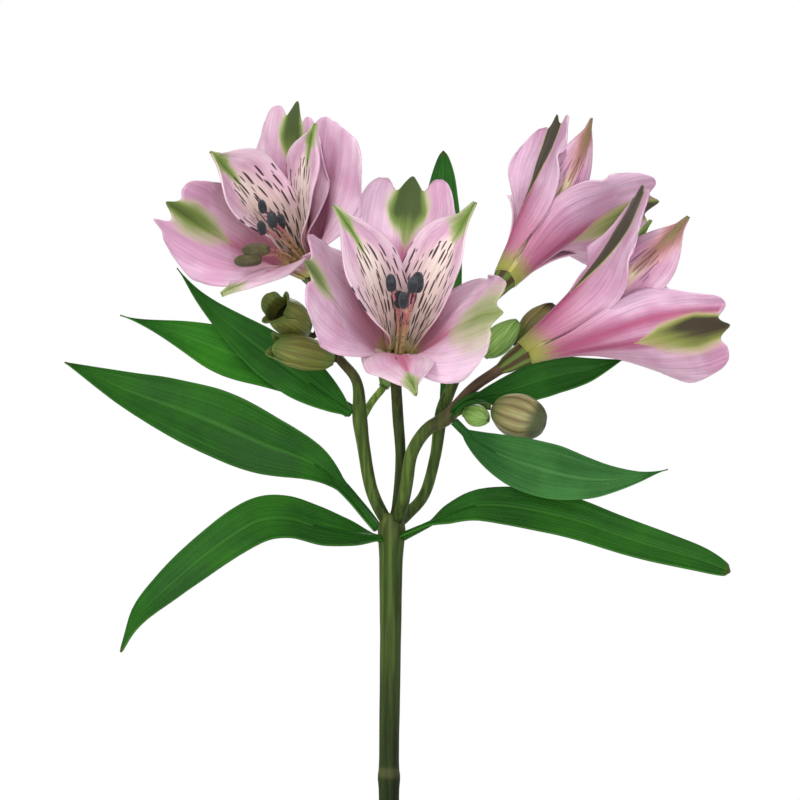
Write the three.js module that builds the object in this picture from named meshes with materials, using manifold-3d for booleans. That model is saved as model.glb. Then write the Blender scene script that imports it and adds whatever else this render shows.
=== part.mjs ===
// A potted Peruvian lily: one flowering stem that stands in the soil of a plain terracotta pot.
// Millimetres, +Z up. The origin is on the surface under the middle of the pot, +X is to the right
// and -Y towards a viewer who sees the middle flower from its front.
import * as THREE from 'three';
import { mergeVertices } from 'three/addons/utils/BufferGeometryUtils.js';
import Module from 'manifold-3d';

const wasm = await Module();
wasm.setup();

// Driving dimensions
const GAP = 0.3;                 // clear space between two pieces that meet
const BLADE = 0.7;               // thickness of every leaf and petal
const POT = {
  height: 110, footRadius: 45, rimRadius: 65, wall: 5.5, floor: 6,
  bandHeight: 22, bandStep: 3, lipRound: 1.5, sides: 36,
};
const DRAIN = { count: 3, radius: 5, fromMiddle: 22 };
const SOIL = { top: 98, relief: 1.1, crownRise: 2, rings: 6, sides: 26 };
const STEM = { foot: 55, footRadius: 3.2, sides: 9, steps: 14 };
const HEAD = { raySides: 6, twigSides: 5 };

// The flower's own sizes. Outer petals are broad and clawed, inner ones are narrow and pointed.
const OUTER = { half: 13.6, start: 3.7, rows: 9, columns: 6 };
const INNER = { half: 7.8, start: 2.2, rows: 7, columns: 4 };
const RING = { height: 1.6, outer: [3.05, 4.3], inner: [1.65, 2.75], core: 1.4, seat: 0.4, sides: 12 };
const CREASE = 0.5;              // depth of the groove along a petal's middle
const LEAF = { rows: 11, columns: 4, tip: 0.35 };
const STAMEN = { filament: 0.42, ring: 0.94, sides: 4, steps: 3 };
const STYLE = { radius: 0.35, length: 25, droop: 1.6 };

// A flower: where its petals start, where it looks (turn is to the right from straight at the
// viewer, rise is upwards) and how it is rolled. A petal's place is its angle round the axis,
// clockwise from the top as seen from the front. On its way out it swings round by sweep, opens
// from flare[0] to flare[1], late where ease is high, and twists by roll. The numbers in halves
// scale its two sides, and cup is how strongly its free part bends across. A stamen is the place
// of its anther, sideways, upwards and along the flower's axis, and the anther's length.
const FLOWERS = {
  middle: {
    base: [2.5, -14, 275], turn: 5, rise: 30, roll: 0,
    outer: [
      { place: -1, sweep: 10, flare: [6, 98], ease: 1.1, roll: 9, halves: [1.18, 1.2], length: 49, cup: 0.85 },
      { place: 127, sweep: 2, flare: [19, 36], ease: 2, roll: -27, halves: [1.16, 1.1], length: 53, cup: -0.5 },
      { place: 262, sweep: 6, flare: [26, 23], ease: 1.3, roll: 8, halves: [1, 1.25], length: 54, cup: -0.4 },
    ],
    inner: [
      { place: 43, sweep: 1, flare: [10, 45], ease: 1.4, roll: 18, halves: [1.3, 1.1], length: 52, cup: 0.7 },
      { place: 308, sweep: 7, flare: [7, 64], ease: 1.9, roll: 0, halves: [1, 0.97], length: 53, cup: 0.4 },
      { place: 191, sweep: -20, flare: [11, 69], ease: 1.1, roll: -8, halves: [1, 1.2], length: 50, cup: 0.3 },
    ],
    stamens: [
      [-4, 3.5, 30, 5], [2.5, 3, 31, 5.6], [-1, -1, 29, 4.6],
      [1, 1, 33, 4.6], [-1.5, 3, 23, 5], [2, 0.5, 22, 5],
    ],
  },
  left: {
    base: [-21.5, 6, 298.5], turn: -24, rise: 33, roll: 0,
    outer: [
      { place: 22, sweep: 4, flare: [9, 44], ease: 1.2, roll: 5, halves: [0.85, 0.91], length: 48, cup: -0.1 },
      { place: 73, sweep: -37, flare: [24, 36], ease: 1.5, roll: -2, halves: [0.92, 0.8], length: 50, cup: 0 },
      { place: 232, sweep: 14, flare: [23, 19], ease: 1.5, roll: 45, halves: [1, 1], length: 48, cup: -0.3 },
    ],
    inner: [
      { place: 59, sweep: -3, flare: [6, 29], ease: 1, roll: -17, halves: [0.85, 1], length: 51, cup: 0.4 },
      { place: 296, sweep: -22, flare: [3, 14], ease: 1.7, roll: 3, halves: [1.04, 1.25], length: 49, cup: 0.7 },
      { place: 160, sweep: 39, flare: [12, 59], ease: 0.65, roll: -17, halves: [1.05, 0.82], length: 50, cup: -0.3 },
    ],
    stamens: [
      [0, -2, 30, 5], [3.3, -5.5, 29, 5.4], [1, -8, 29, 5],
      [-0.5, -12.5, 26, 7], [-2.5, -15, 25, 6.4], [0.5, 0.5, 20, 4.6],
    ],
  },
  back: {
    base: [31, 14, 296.5], turn: 130, rise: 43, roll: 0,
    outer: [
      { place: 13, sweep: 42, flare: [14, 18], ease: 1.5, roll: -45, halves: [0.86, 0.75], length: 51, cup: -0.5 },
      { place: 116, sweep: 10, flare: [15, 60], ease: 1.4, roll: 0, halves: [1, 1], length: 52, cup: 0.3 },
      { place: 241, sweep: -36, flare: [9, 35], ease: 1.7, roll: 32, halves: [1.25, 1.1], length: 49, cup: -0.2 },
    ],
    inner: [
      { place: 61, sweep: 4, flare: [4, 10], ease: 1.4, roll: 4, halves: [1, 1], length: 51, cup: 0.4 },
      { place: 314, sweep: 17, flare: [4, 54], ease: 1.4, roll: -40, halves: [0.75, 0.83], length: 49, cup: 0.9 },
      { place: 172, sweep: -4, flare: [5, 32], ease: 1.2, roll: 0, halves: [1, 1], length: 47, cup: 0.5 },
    ],
    stamens: [
      [-3, 2, 30, 5], [2, 1, 29, 5], [-1, -2, 28, 4.6],
      [1.5, -4, 27, 5], [0, 2.5, 23, 5], [-2, -1, 22, 5],
    ],
  },
  right: {
    base: [35.5, -6, 276.5], turn: 100, rise: 33, roll: -12,
    outer: [
      { place: -17, sweep: 45, flare: [9, 31], ease: 1.3, roll: -15, halves: [1.12, 0.92], length: 52, cup: 0 },
      { place: 122, sweep: 20, flare: [9, 42], ease: 1.5, roll: 0, halves: [1, 1], length: 52, cup: 0.3 },
      { place: 225, sweep: 45, flare: [19, 60], ease: 1.1, roll: 35, halves: [1.1, 1], length: 55, cup: 0.9 },
    ],
    inner: [
      { place: 58, sweep: -1, flare: [3, 23], ease: 1.1, roll: 8, halves: [0.96, 1], length: 51, cup: 0.7 },
      { place: 294, sweep: 21, flare: [7, 37], ease: 1.6, roll: -4, halves: [1.15, 1.15], length: 55, cup: 0.7 },
      { place: 178, sweep: -3, flare: [5, 41], ease: 1.5, roll: 0, halves: [1, 1], length: 50, cup: 0.5 },
    ],
    stamens: [
      [-3, 2, 30, 5], [2, 1, 29, 5], [-1, -2, 28, 4.6],
      [1.5, -4, 27, 5], [0, 2.5, 23, 5], [-2, -1, 22, 5],
    ],
  },
};

// A leaf's route, from its foot at the stem to its tip. The fourth number is how far the blade is
// turned about the route, in degrees from lying flat. Widths are half widths.
const LEAVES = {
  leaf_left: {
    route: [[-3.1, 1.2, 230.5, 20], [-8, 4, 236.5, 35], [-13, 5, 242, 60], [-20, 5, 247.5, 80],
      [-33, 8, 252.5, 80], [-48.5, 12, 259, 76], [-70, 14, 267, 70], [-85.5, 12, 274, 65]],
    half: 8.8, foot: 1.2, stalk: 0.16, peak: 0.42, cup: 0.3,
  },
  leaf_hanging: {
    route: [[-2.1, -1.8, 228, 30], [-9.5, -8, 229.5, 60], [-18, -14, 231.5, 65], [-26, -20, 234, 65],
      [-33, -24, 233.5, 70], [-43.5, -28, 227, 75], [-55, -30, 217.5, 70], [-62.5, -30, 210, 60],
      [-67.5, -28, 200.5, 50]],
    half: 6, foot: 1.4, stalk: 0.02, peak: 0.3, cup: 0.35, blunt: 0.6,
  },
  leaf_right: {
    route: [[3.7, -1.7, 228.6, -10], [9.5, -6, 231.5, -20], [15.5, -9, 234.5, -60], [24, -12, 237, -70],
      [43.5, -18, 234.5, -62], [63.5, -22, 228, -60], [79, -24, 223.5, -60], [86.5, -24, 220.5, -60]],
    half: 5.6, foot: 1.3, stalk: 0.1, peak: 0.4, cup: 0.3, blunt: 0.35, tip: 2,
  },
  bract_left_low: {
    route: [[-8.6, 4.4, 261, 40], [-12.5, 10.5, 263.3, 60], [-20.5, 17, 267.8, 75], [-31, 20, 272.8, 80],
      [-42, 20.5, 276.3, 80], [-56, 19, 281.6, 75], [-71.3, 17, 286.5, 70]],
    half: 6.6, foot: 1.1, stalk: 0.12, peak: 0.5, cup: 0.3, blunt: 1.7,
  },
  bract_left_high: {
    route: [[-10.4, 1.6, 260.3, 40], [-14.2, 5.5, 263.4, 60], [-23.5, 11.5, 270.3, 75], [-33, 15, 277, 80],
      [-43, 15.5, 284.6, 80], [-50, 14.5, 291.2, 80], [-56, 14, 298.9, 80]],
    half: 6.4, foot: 1.2, stalk: 0.02, peak: 0.35, cup: 0.3, blunt: 1.5,
  },
  bract_right_dark: {
    route: [[17.3, -4.8, 262.3, -40], [22.5, -2, 264, -70], [31.5, 2, 266.5, -80], [42, 4, 270, -80],
      [52.5, 5, 272, -75], [61, 5, 274.5, -70]],
    half: 5, foot: 1, stalk: 0.12, peak: 0.5, cup: 0.3,
  },
  bract_right_blue: {
    route: [[16.9, -9.5, 258.4, -60], [21, -13, 254.5, -70], [28.5, -17, 250, -80], [38.5, -20, 246.5, -85],
      [51, -23, 244, -85], [62.5, -25, 244.5, -85], [70.5, -26, 246.5, -80]],
    half: 7, foot: 1.1, stalk: 0.08, peak: 0.42, cup: 0.25, blunt: 1.6,
  },
  bract_back: {
    route: [[14.3, 5.7, 263.5, 20], [14.6, 10, 270, 10], [14.5, 18, 285, 5], [14, 26, 302, 5],
      [14, 32, 315, 5], [14.5, 35.5, 324, 8], [14.6, 37, 331.5, 12]],
    half: 5.6, foot: 1.1, stalk: 0.1, peak: 0.6, cup: 0.3, blunt: 0.6,
  },
  leaf_low_right: {
    route: [[3.4, 0.8, 133, 10], [14, 4, 142, 5], [32, 9, 149, -5], [50, 13, 147, -15], [63, 15, 140, -20]],
    half: 6.5, foot: 1.2, stalk: 0.14, peak: 0.45, cup: 0.3,
  },
  leaf_low_left: {
    route: [[-3.3, 1.3, 121, -10], [-13, 7, 130, -5], [-29, 16, 137, 5], [-44, 24, 134, 15],
      [-54, 29, 127, 20]],
    half: 6, foot: 1.2, stalk: 0.14, peak: 0.45, cup: 0.3,
  },
};

// The stem and everything that branches from it. A route's fourth number is its radius there.
const STEM_ROUTE = [[0, 0, 55, 3.2], [0, 0, 100, 3], [0, 0, 160, 2.8], [0, 0, 166, 3.2], [0, 0, 171, 2.8],
  [0.5, 0, 202, 2.9], [0.5, 0, 226, 3.1], [0.7, 0, 231, 3.5], [1, 0, 234.5, 2.8]];
const RAYS = {
  left: [[0.5, 0, 231, 1.6], [-1.8, 0, 234.5, 1.6], [-4.5, 1, 240.5, 1.6], [-6.5, 2, 251, 1.6],
    [-7.6, 2.2, 259, 1.9], [-8.5, 3, 269, 1.3], [-13.5, 5.5, 275.5, 1.2], [-18, 10.5, 284, 1.2]],
  middle: [[1, 0, 231, 1.5], [2, -0.8, 236, 1.3], [3, 0, 249, 1.3], [2.3, 0.8, 260, 1.4]],
  right: [[1.2, 0, 231, 1.6], [3, -3, 235, 1.6], [4.5, -5, 242, 1.6], [6, -6, 250.5, 1.6],
    [10, -7, 256.5, 1.6], [15, -7.6, 259.5, 1.9], [21.5, -8, 267, 1.3]],
  back: [[1.2, 0, 231, 1.5], [5, 1.5, 234.5, 1.5], [9, 3, 239, 1.4], [12, 3, 249, 1.4], [14, 3, 261.5, 1.7],
    [18.5, 4, 272, 1.2], [23.5, 6, 283, 1.2]],
};
const TWIGS = [
  [[-7.6, 2.2, 258.5, 1.1], [-4.5, 6, 263.5, 0.8], [-1.7, 8.8, 267, 0.8]],
  [[-13.2, 5.4, 275, 0.9], [-14, 4.6, 274.6, 0.9]],
  [[-18, 10.7, 283.8, 0.9], [-19.8, 10.7, 280.9, 0.8], [-21.2, 10.3, 281.4, 0.8]],
  [[23.6, 6, 283, 0.8], [30, 5.6, 279.2, 0.8], [33.4, 4, 279, 0.8]],
  [[22, 5, 280, 0.8], [22, 2.2, 276, 0.8], [24, 1, 275, 0.8]],
  [[15.5, -7.6, 259.8, 1], [22, -8.2, 262.4, 0.9], [26.2, -8.8, 262.3, 0.9]],
  [[15.2, -7.8, 259.4, 1], [19, -9.6, 261.2, 0.8]],
];
const OVARY = { length: 8, radius: 3, neck: 1.5, crown: 4.3, overlap: 1.2, sides: 10, ribDepth: 0.05 };

// Buds: the foot and the tip, the greatest radius, and where along the bud that is.
const BUDS = {
  bud_left_closed: { foot: [-14.6, 4.3, 274.4], tip: [-31.5, 0, 278.5], radius: 3.8, fullest: 0.45 },
  bud_left_open: { foot: [-21.6, 10.2, 281.9], tip: [-32.5, 7, 293], radius: 4.2, fullest: 0.5 },
  bud_right_top: { foot: [34, 3.8, 279.6], tip: [43.5, 7, 288.5], radius: 3.4, fullest: 0.5 },
  bud_right_inner: { foot: [24.5, 0.9, 275.6], tip: [33.5, 0, 284.5], radius: 3.2, fullest: 0.45 },
  bud_right_round: { foot: [26.8, -9, 262], tip: [41.5, -13, 257], radius: 5.4, fullest: 0.5 },
  bud_right_small: { foot: [19.5, -10, 261], tip: [25.5, -13, 259], radius: 2.4, fullest: 0.5 },
  bud_hidden: { foot: [-1.3, 9.2, 267.5], tip: [2.5, 14, 276.5], radius: 2.6, fullest: 0.5 },
};
const BUD = { rows: 6, sides: 10, ribs: 5, ribDepth: 0.07, tipRadius: 0.3 };

// Colours, roughness
const FINISH = {
  terracotta: [0xb5653f, 0.85],
  earth: [0x3a2a1f, 0.95],
  stem: [0x5d8a3c, 0.6],
  leaf: [0x3f8a34, 0.5],
  darkLeaf: [0x2c6a2b, 0.5],
  petal: [0xdcb0d0, 0.6],
  innerPetal: [0xeccfd6, 0.6],
  anther: [0x2d3038, 0.8],
  bud: [0x6f7f3c, 0.6],
};

const RADIANS = Math.PI / 180;
const vector = (list) => new THREE.Vector3(list[0], list[1], list[2]);
const mix = (a, b, t) => a + (b - a) * t;

function smooth(from, to, value) {
  const t = THREE.MathUtils.clamp((value - from) / (to - from), 0, 1);
  return t * t * (3 - 2 * t);
}

// A closed mesh from rings of points: each ring is a loop, and the two ends are capped.
function loft(rings) {
  const sides = rings[0].length;
  const points = rings.flat();
  const index = [];
  for (let i = 0; i + 1 < rings.length; i += 1) {
    for (let j = 0; j < sides; j += 1) {
      const a = i * sides + j;
      const b = i * sides + (j + 1) % sides;
      index.push(a, b, b + sides, a, b + sides, a + sides);
    }
  }
  const foot = points.push(centre(rings[0])) - 1;
  const head = points.push(centre(rings[rings.length - 1])) - 1;
  const last = (rings.length - 1) * sides;
  for (let j = 0; j < sides; j += 1) {
    index.push(foot, (j + 1) % sides, j);
    index.push(head, last + j, last + (j + 1) % sides);
  }
  return indexed(points, index);
}

function centre(ring) {
  const sum = ring.reduce((total, point) => total.add(point), new THREE.Vector3());
  return sum.divideScalar(ring.length);
}

function indexed(points, index) {
  const geometry = new THREE.BufferGeometry();
  geometry.setFromPoints(points);
  geometry.setIndex(index);
  return geometry;
}

// A thin closed blade on both sides of the surface at(v, u), with v from 0 to 1 along it and u from
// -1 to 1 across it. Both faces are split along the same diagonals.
function blade(rows, columns, at) {
  const points = [[], []];
  for (let i = 0; i <= rows; i += 1) {
    for (let j = 0; j <= columns; j += 1) {
      const v = i / rows;
      const u = -1 + 2 * j / columns;
      const offset = normalOf(at, v, u).multiplyScalar(BLADE / 2);
      points[0].push(at(v, u).add(offset));
      points[1].push(at(v, u).sub(offset));
    }
  }
  const index = [];
  const count = points[0].length;
  const quad = (a, b, c, d) => index.push(a, b, c, a, c, d);
  for (let i = 0; i < rows; i += 1) {
    for (let j = 0; j < columns; j += 1) {
      const a = i * (columns + 1) + j;
      const b = a + columns + 1;
      quad(a, b, b + 1, a + 1);
      index.push(count + a, count + b + 1, count + b, count + a, count + a + 1, count + b + 1);
    }
  }
  for (let i = 0; i < rows; i += 1) {
    const a = i * (columns + 1);
    const b = a + columns + 1;
    quad(a, count + a, count + b, b);
    quad(a + columns, b + columns, count + b + columns, count + a + columns);
  }
  for (let j = 0; j < columns; j += 1) {
    const top = rows * (columns + 1) + j;
    quad(j, j + 1, count + j + 1, count + j);
    quad(top, count + top, count + top + 1, top + 1);
  }
  return indexed([...points[0], ...points[1]], index);
}

// The surface's normal, from its slopes either side of the place.
function normalOf(at, v, u) {
  const step = 0.02;
  const along = at(Math.min(v + step, 1), u).sub(at(Math.max(v - step, 0), u));
  const across = at(v, Math.min(u + step, 1)).sub(at(v, Math.max(u - step, -1)));
  return along.cross(across).normalize();
}

// A solid that booleans can join, from a closed geometry.
function solid(geometry) {
  const bare = new THREE.BufferGeometry();
  bare.setAttribute('position', geometry.getAttribute('position').clone());
  bare.setIndex(geometry.getIndex());
  const welded = mergeVertices(bare, 1e-4);
  return new wasm.Manifold(new wasm.Mesh({
    numProp: 3,
    vertProperties: Float32Array.from(welded.getAttribute('position').array),
    triVerts: Uint32Array.from(welded.getIndex().array),
  }));
}

function joined(geometries) {
  return geometries.map(solid).reduce((whole, next) => whole.add(next));
}

function meshFrom(name, shape, [colour, roughness]) {
  const geometry = shape.isBufferGeometry ? shape : surfaceOf(shape);
  const material = new THREE.MeshStandardMaterial({ color: colour, roughness, metalness: 0 });
  const mesh = new THREE.Mesh(geometry, material);
  mesh.name = name;
  return mesh;
}

function surfaceOf(manifold) {
  const mesh = manifold.getMesh();
  const geometry = new THREE.BufferGeometry();
  geometry.setAttribute('position', new THREE.BufferAttribute(Float32Array.from(mesh.vertProperties), 3));
  geometry.setIndex(Array.from(mesh.triVerts));
  return geometry;
}

// A round, tapering stalk along a route of [x, y, z, radius].
function stalk(route, sides, steps) {
  const curve = new THREE.CatmullRomCurve3(route.map(vector), false, 'centripetal');
  const radii = new THREE.CatmullRomCurve3(route.map((p) => new THREE.Vector3(p[3], 0, 0)));
  const frames = curve.computeFrenetFrames(steps, false);
  const rings = [];
  for (let i = 0; i <= steps; i += 1) {
    const t = i / steps;
    const middle = curve.getPointAt(t);
    const radius = radii.getPoint(curve.getUtoTmapping(t)).x;
    rings.push(loop(middle, frames.normals[i], frames.binormals[i], sides, () => radius));
  }
  return loft(rings);
}

// A loop of points round a middle, in the plane of two crossing directions.
function loop(middle, first, second, sides, radiusAt) {
  const ring = [];
  for (let j = 0; j < sides; j += 1) {
    const angle = 2 * Math.PI * j / sides;
    const radius = radiusAt(angle);
    ring.push(middle.clone()
      .addScaledVector(first, radius * Math.cos(angle))
      .addScaledVector(second, radius * Math.sin(angle)));
  }
  return ring;
}

// A body with a round or ribbed section between a foot and a tip, such as a bud or an ovary.
function spindle(foot, tip, profile, sides, ribDepth) {
  const axis = tip.clone().sub(foot).normalize();
  const first = new THREE.Vector3(0, 1, 0).cross(axis).normalize();
  const second = axis.clone().cross(first);
  const rings = profile.map(([along, radius]) => {
    const ribbed = (angle) => radius * (1 + ribDepth * Math.cos(BUD.ribs * angle));
    return loop(foot.clone().lerp(tip, along), first, second, sides, ribbed);
  });
  return loft(rings);
}

// The direction at an angle from one direction towards another that is square to it.
function between(first, second, angle) {
  return first.clone().multiplyScalar(Math.cos(angle)).addScaledVector(second, Math.sin(angle));
}

// The flower's frame: its axis, the direction of its top petal and the direction to its side.
function flowerFrame(flower) {
  const turn = flower.turn * RADIANS;
  const rise = flower.rise * RADIANS;
  const level = Math.cos(rise);
  const axis = new THREE.Vector3(Math.sin(turn) * level, -Math.cos(turn) * level, Math.sin(rise));
  const up = new THREE.Vector3(0, 0, 1).addScaledVector(axis, -axis.z).normalize();
  up.applyAxisAngle(axis, -flower.roll * RADIANS);
  return { base: vector(flower.base), axis, up, side: up.clone().cross(axis) };
}

// Stations along a petal's middle line, each with the directions across it and into the flower.
function midrib(frame, kind, petal) {
  const stations = [];
  const steps = 48;
  const reach = 1.12;
  let point = null;
  let heading = null;
  for (let i = 0; i <= steps; i += 1) {
    const t = reach * i / steps;
    const round = (petal.place + petal.sweep * smooth(0.05, 1, t)) * RADIANS;
    const open = mix(petal.flare[0], petal.flare[1], t ** petal.ease) * RADIANS;
    const outward = between(frame.up, frame.side, round);
    const around = between(frame.side, frame.up, -round);
    const next = between(frame.axis, outward, open);
    if (point === null) {
      point = frame.base.clone().addScaledVector(frame.axis, RING.seat).addScaledVector(outward, kind.start);
    } else {
      const mean = heading.clone().add(next).normalize();
      point = point.clone().addScaledVector(mean, petal.length * reach / steps);
    }
    heading = next;
    stations.push({ point, around });
  }
  return { stations, steps, reach };
}

// The place on a petal's middle line at a share of its length, with the line's own frame there.
function station(frame, line, share) {
  const k = THREE.MathUtils.clamp(share / line.reach, 0, 1) * line.steps;
  const i = Math.min(Math.floor(k), line.steps - 1);
  const [a, b] = [line.stations[i], line.stations[i + 1]];
  const point = a.point.clone().lerp(b.point, k - i);
  const before = line.stations[Math.max(i - 1, 0)].point;
  const after = line.stations[Math.min(i + 2, line.steps)].point;
  const tangent = after.clone().sub(before).normalize();
  const across = a.around.clone().lerp(b.around, k - i);
  across.addScaledVector(tangent, -across.dot(tangent)).normalize();
  const inward = across.clone().cross(tangent);
  const fromBase = point.clone().sub(frame.base);
  const radius = fromBase.addScaledVector(frame.axis, -fromBase.dot(frame.axis)).length();
  return { point, across, inward, radius };
}

// Half width of an outer petal, as a share of its greatest, from the claw to the rounded end.
function outerWidth(v) {
  const past = Math.max(v - 0.74, 0) / 0.26;
  return mix(0.26, 1, smooth(0, 0.58, v)) * (1 - 0.42 * past ** 2);
}

// How far the rounded end reaches past its middle line: two lobes with a small point between them.
function outerReach(u) {
  const side = Math.abs(u);
  return -0.1 * side ** 2.2 + 0.035 * Math.sin(Math.PI * side) + 0.055 * Math.exp(-((side / 0.1) ** 2));
}

function innerWidth(v) {
  const past = Math.max(v - 0.64, 0) / 0.36;
  return mix(0.28, 1, smooth(0.02, 0.62, v)) * (1 - 0.92 * past ** 1.8);
}

// The surface of one petal as a function of the place along it and across it.
function petalSurface(frame, kind, petal) {
  const line = midrib(frame, kind, petal);
  const isOuter = kind === OUTER;
  const width = isOuter ? outerWidth : innerWidth;
  return (v, u) => {
    const share = isOuter ? v + outerReach(u) * smooth(0.55, 1, v) : v;
    const { point, across, inward, radius } = station(frame, line, share);
    const turn = petal.roll * RADIANS * smooth(0.15, 1, v);
    const wide = between(across, inward, turn);
    const deep = between(inward, across, -turn);
    const claw = radius * mix(1, 10, smooth(0.1, 0.35, v));
    const half = Math.min(kind.half * width(v) * petal.halves[u < 0 ? 0 : 1], claw);
    const roundTube = half / Math.max(radius, 0.5);
    const free = smooth(0.25, 0.75, v);
    let bend = THREE.MathUtils.clamp(mix(roundTube, petal.cup, free), -1.6, 1.6);
    if (Math.abs(bend) < 1e-3) bend = 1e-3;
    const x = half * Math.sin(bend * u) / bend;
    const groove = CREASE * Math.exp(-((u / 0.18) ** 2)) * smooth(0, 0.3, v);
    const y = half * (1 - Math.cos(bend * u)) / bend - groove;
    return point.clone().addScaledVector(wide, x).addScaledVector(deep, y);
  };
}

// The ring at a flower's foot that its petals stand in.
function footRing(frame, [inside, outside]) {
  const high = RING.height;
  const profile = [[inside, 0], [outside, 0], [outside, high], [inside, high], [inside, 0]];
  const ring = new THREE.LatheGeometry(profile.map(([r, z]) => new THREE.Vector2(r, z)), RING.sides);
  return alongAxis(ring, frame);
}

function alongAxis(geometry, frame) {
  const turn = new THREE.Quaternion().setFromUnitVectors(new THREE.Vector3(0, 1, 0), frame.axis);
  return geometry.applyQuaternion(turn).translate(frame.base.x, frame.base.y, frame.base.z);
}

function whorl(flower, kind, ringRadii) {
  const frame = flowerFrame(flower);
  const petals = (kind === OUTER ? flower.outer : flower.inner)
    .map((petal) => blade(kind.rows, kind.columns, petalSurface(frame, kind, petal)));
  return joined([footRing(frame, ringRadii), ...petals]);
}

// Six stamens and the style, rising from a small disc inside the petals.
function stamens(flower) {
  const frame = flowerFrame(flower);
  const at = (side, up, along) => frame.base.clone()
    .addScaledVector(frame.side, side).addScaledVector(frame.up, up).addScaledVector(frame.axis, along);
  const disc = new THREE.CylinderGeometry(RING.core, RING.core, RING.height, RING.sides);
  disc.translate(0, RING.height / 2, 0);
  const shapes = [alongAxis(disc, frame)];
  flower.stamens.forEach(([side, up, along, size], i) => {
    const angle = i * Math.PI / 3;
    const [ringSide, ringUp] = [STAMEN.ring * Math.sin(angle), STAMEN.ring * Math.cos(angle)];
    const end = at(side, up, along);
    const bend = at(ringSide + side * 0.1, ringUp + up * 0.1, along * 0.5);
    const curve = new THREE.QuadraticBezierCurve3(at(ringSide, ringUp, RING.seat), bend, end);
    shapes.push(filament(curve, STAMEN.filament));
    const lie = new THREE.Vector3(0, 1, 0).lerp(curve.getTangent(1), 0.4).normalize();
    const anther = new THREE.SphereGeometry(1, 6, 4).scale(0.32 * size, 0.5 * size, 0.32 * size);
    anther.applyQuaternion(new THREE.Quaternion().setFromUnitVectors(new THREE.Vector3(0, 1, 0), lie));
    shapes.push(anther.translate(end.x, end.y, end.z));
  });
  const style = new THREE.QuadraticBezierCurve3(at(0, 0, RING.seat), at(0, 0, STYLE.length / 2),
    at(0, -STYLE.droop, STYLE.length));
  shapes.push(filament(style, STYLE.radius));
  return joined(shapes);
}

function filament(curve, radius) {
  const frames = curve.computeFrenetFrames(STAMEN.steps, false);
  const rings = [];
  for (let i = 0; i <= STAMEN.steps; i += 1) {
    const middle = curve.getPointAt(i / STAMEN.steps);
    rings.push(loop(middle, frames.normals[i], frames.binormals[i], STAMEN.sides, () => radius));
  }
  return loft(rings);
}

// A place on a flower's axis, measured from the seat of its petals.
function onAxis(flower, along) {
  const { base, axis } = flowerFrame(flower);
  return base.addScaledVector(axis, along);
}

// The ovary under a flower: it widens from the stalk to the seat that the petals stand on.
function ovary(flower) {
  const profile = [[0, OVARY.neck], [0.3, OVARY.radius * 0.95], [0.7, OVARY.radius], [0.92, OVARY.crown],
    [1, OVARY.crown]];
  const foot = onAxis(flower, -GAP - OVARY.length);
  return spindle(foot, onAxis(flower, -GAP), profile, OVARY.sides, OVARY.ribDepth);
}

function flowerStem() {
  const stalks = [stalk(STEM_ROUTE, STEM.sides, STEM.steps)];
  Object.entries(RAYS).forEach(([name, route]) => {
    const foot = onAxis(FLOWERS[name], -GAP - OVARY.length + OVARY.overlap);
    const before = onAxis(FLOWERS[name], -GAP - OVARY.length - OVARY.overlap);
    const whole = [...route, [...before.toArray(), OVARY.neck * 0.9], [...foot.toArray(), OVARY.neck]];
    stalks.push(stalk(whole, HEAD.raySides, route.length + 3));
  });
  TWIGS.forEach((route) => stalks.push(stalk(route, HEAD.twigSides, 2 * route.length - 2)));
  Object.values(FLOWERS).forEach((flower) => stalks.push(ovary(flower)));
  return joined(stalks);
}

function bud({ foot, tip, radius, fullest }) {
  const profile = [];
  for (let i = 0; i <= BUD.rows; i += 1) {
    const along = i / BUD.rows;
    const shaped = Math.sin(Math.PI * along ** (Math.log(0.5) / Math.log(fullest))) ** 0.7;
    profile.push([along, Math.max(radius * shaped, i === 0 ? 0.9 : BUD.tipRadius)]);
  }
  return spindle(vector(foot), vector(tip), profile, BUD.sides, BUD.ribDepth);
}

// A leaf: a narrow twisted stalk that widens into a lance-shaped blade.
function leaf({ route, half, foot, stalk: stalkShare, peak, cup, blunt = 1, tip = LEAF.tip }) {
  const curve = new THREE.CatmullRomCurve3(route.map(vector), false, 'centripetal');
  const turns = new THREE.CatmullRomCurve3(route.map((p) => new THREE.Vector3(p[3], 0, 0)));
  const up = new THREE.Vector3(0, 0, 1);
  const width = (v) => {
    const share = THREE.MathUtils.clamp((v - stalkShare) / (1 - stalkShare), 0, 1);
    const rise = Math.sin(Math.PI / 2 * Math.min(share / peak, 1)) ** 0.9;
    const fall = Math.cos(Math.PI / 2 * Math.max(share - peak, 0) / (1 - peak)) ** blunt;
    return Math.max(mix(foot, half, rise) * fall, tip);
  };
  const surface = (v, u) => {
    const middle = curve.getPointAt(v);
    const tangent = curve.getTangentAt(v);
    const level = tangent.clone().cross(up).normalize();
    const raised = level.clone().cross(tangent);
    const turn = turns.getPoint(curve.getUtoTmapping(v)).x * RADIANS;
    const wide = between(level, raised, turn);
    const deep = between(raised, level, -turn);
    const w = width(v);
    return middle.addScaledVector(wide, w * Math.sin(cup * u) / cup)
      .addScaledVector(deep, w * (1 - Math.cos(cup * u)) / cup);
  };
  return blade(LEAF.rows, LEAF.columns, surface);
}

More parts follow.
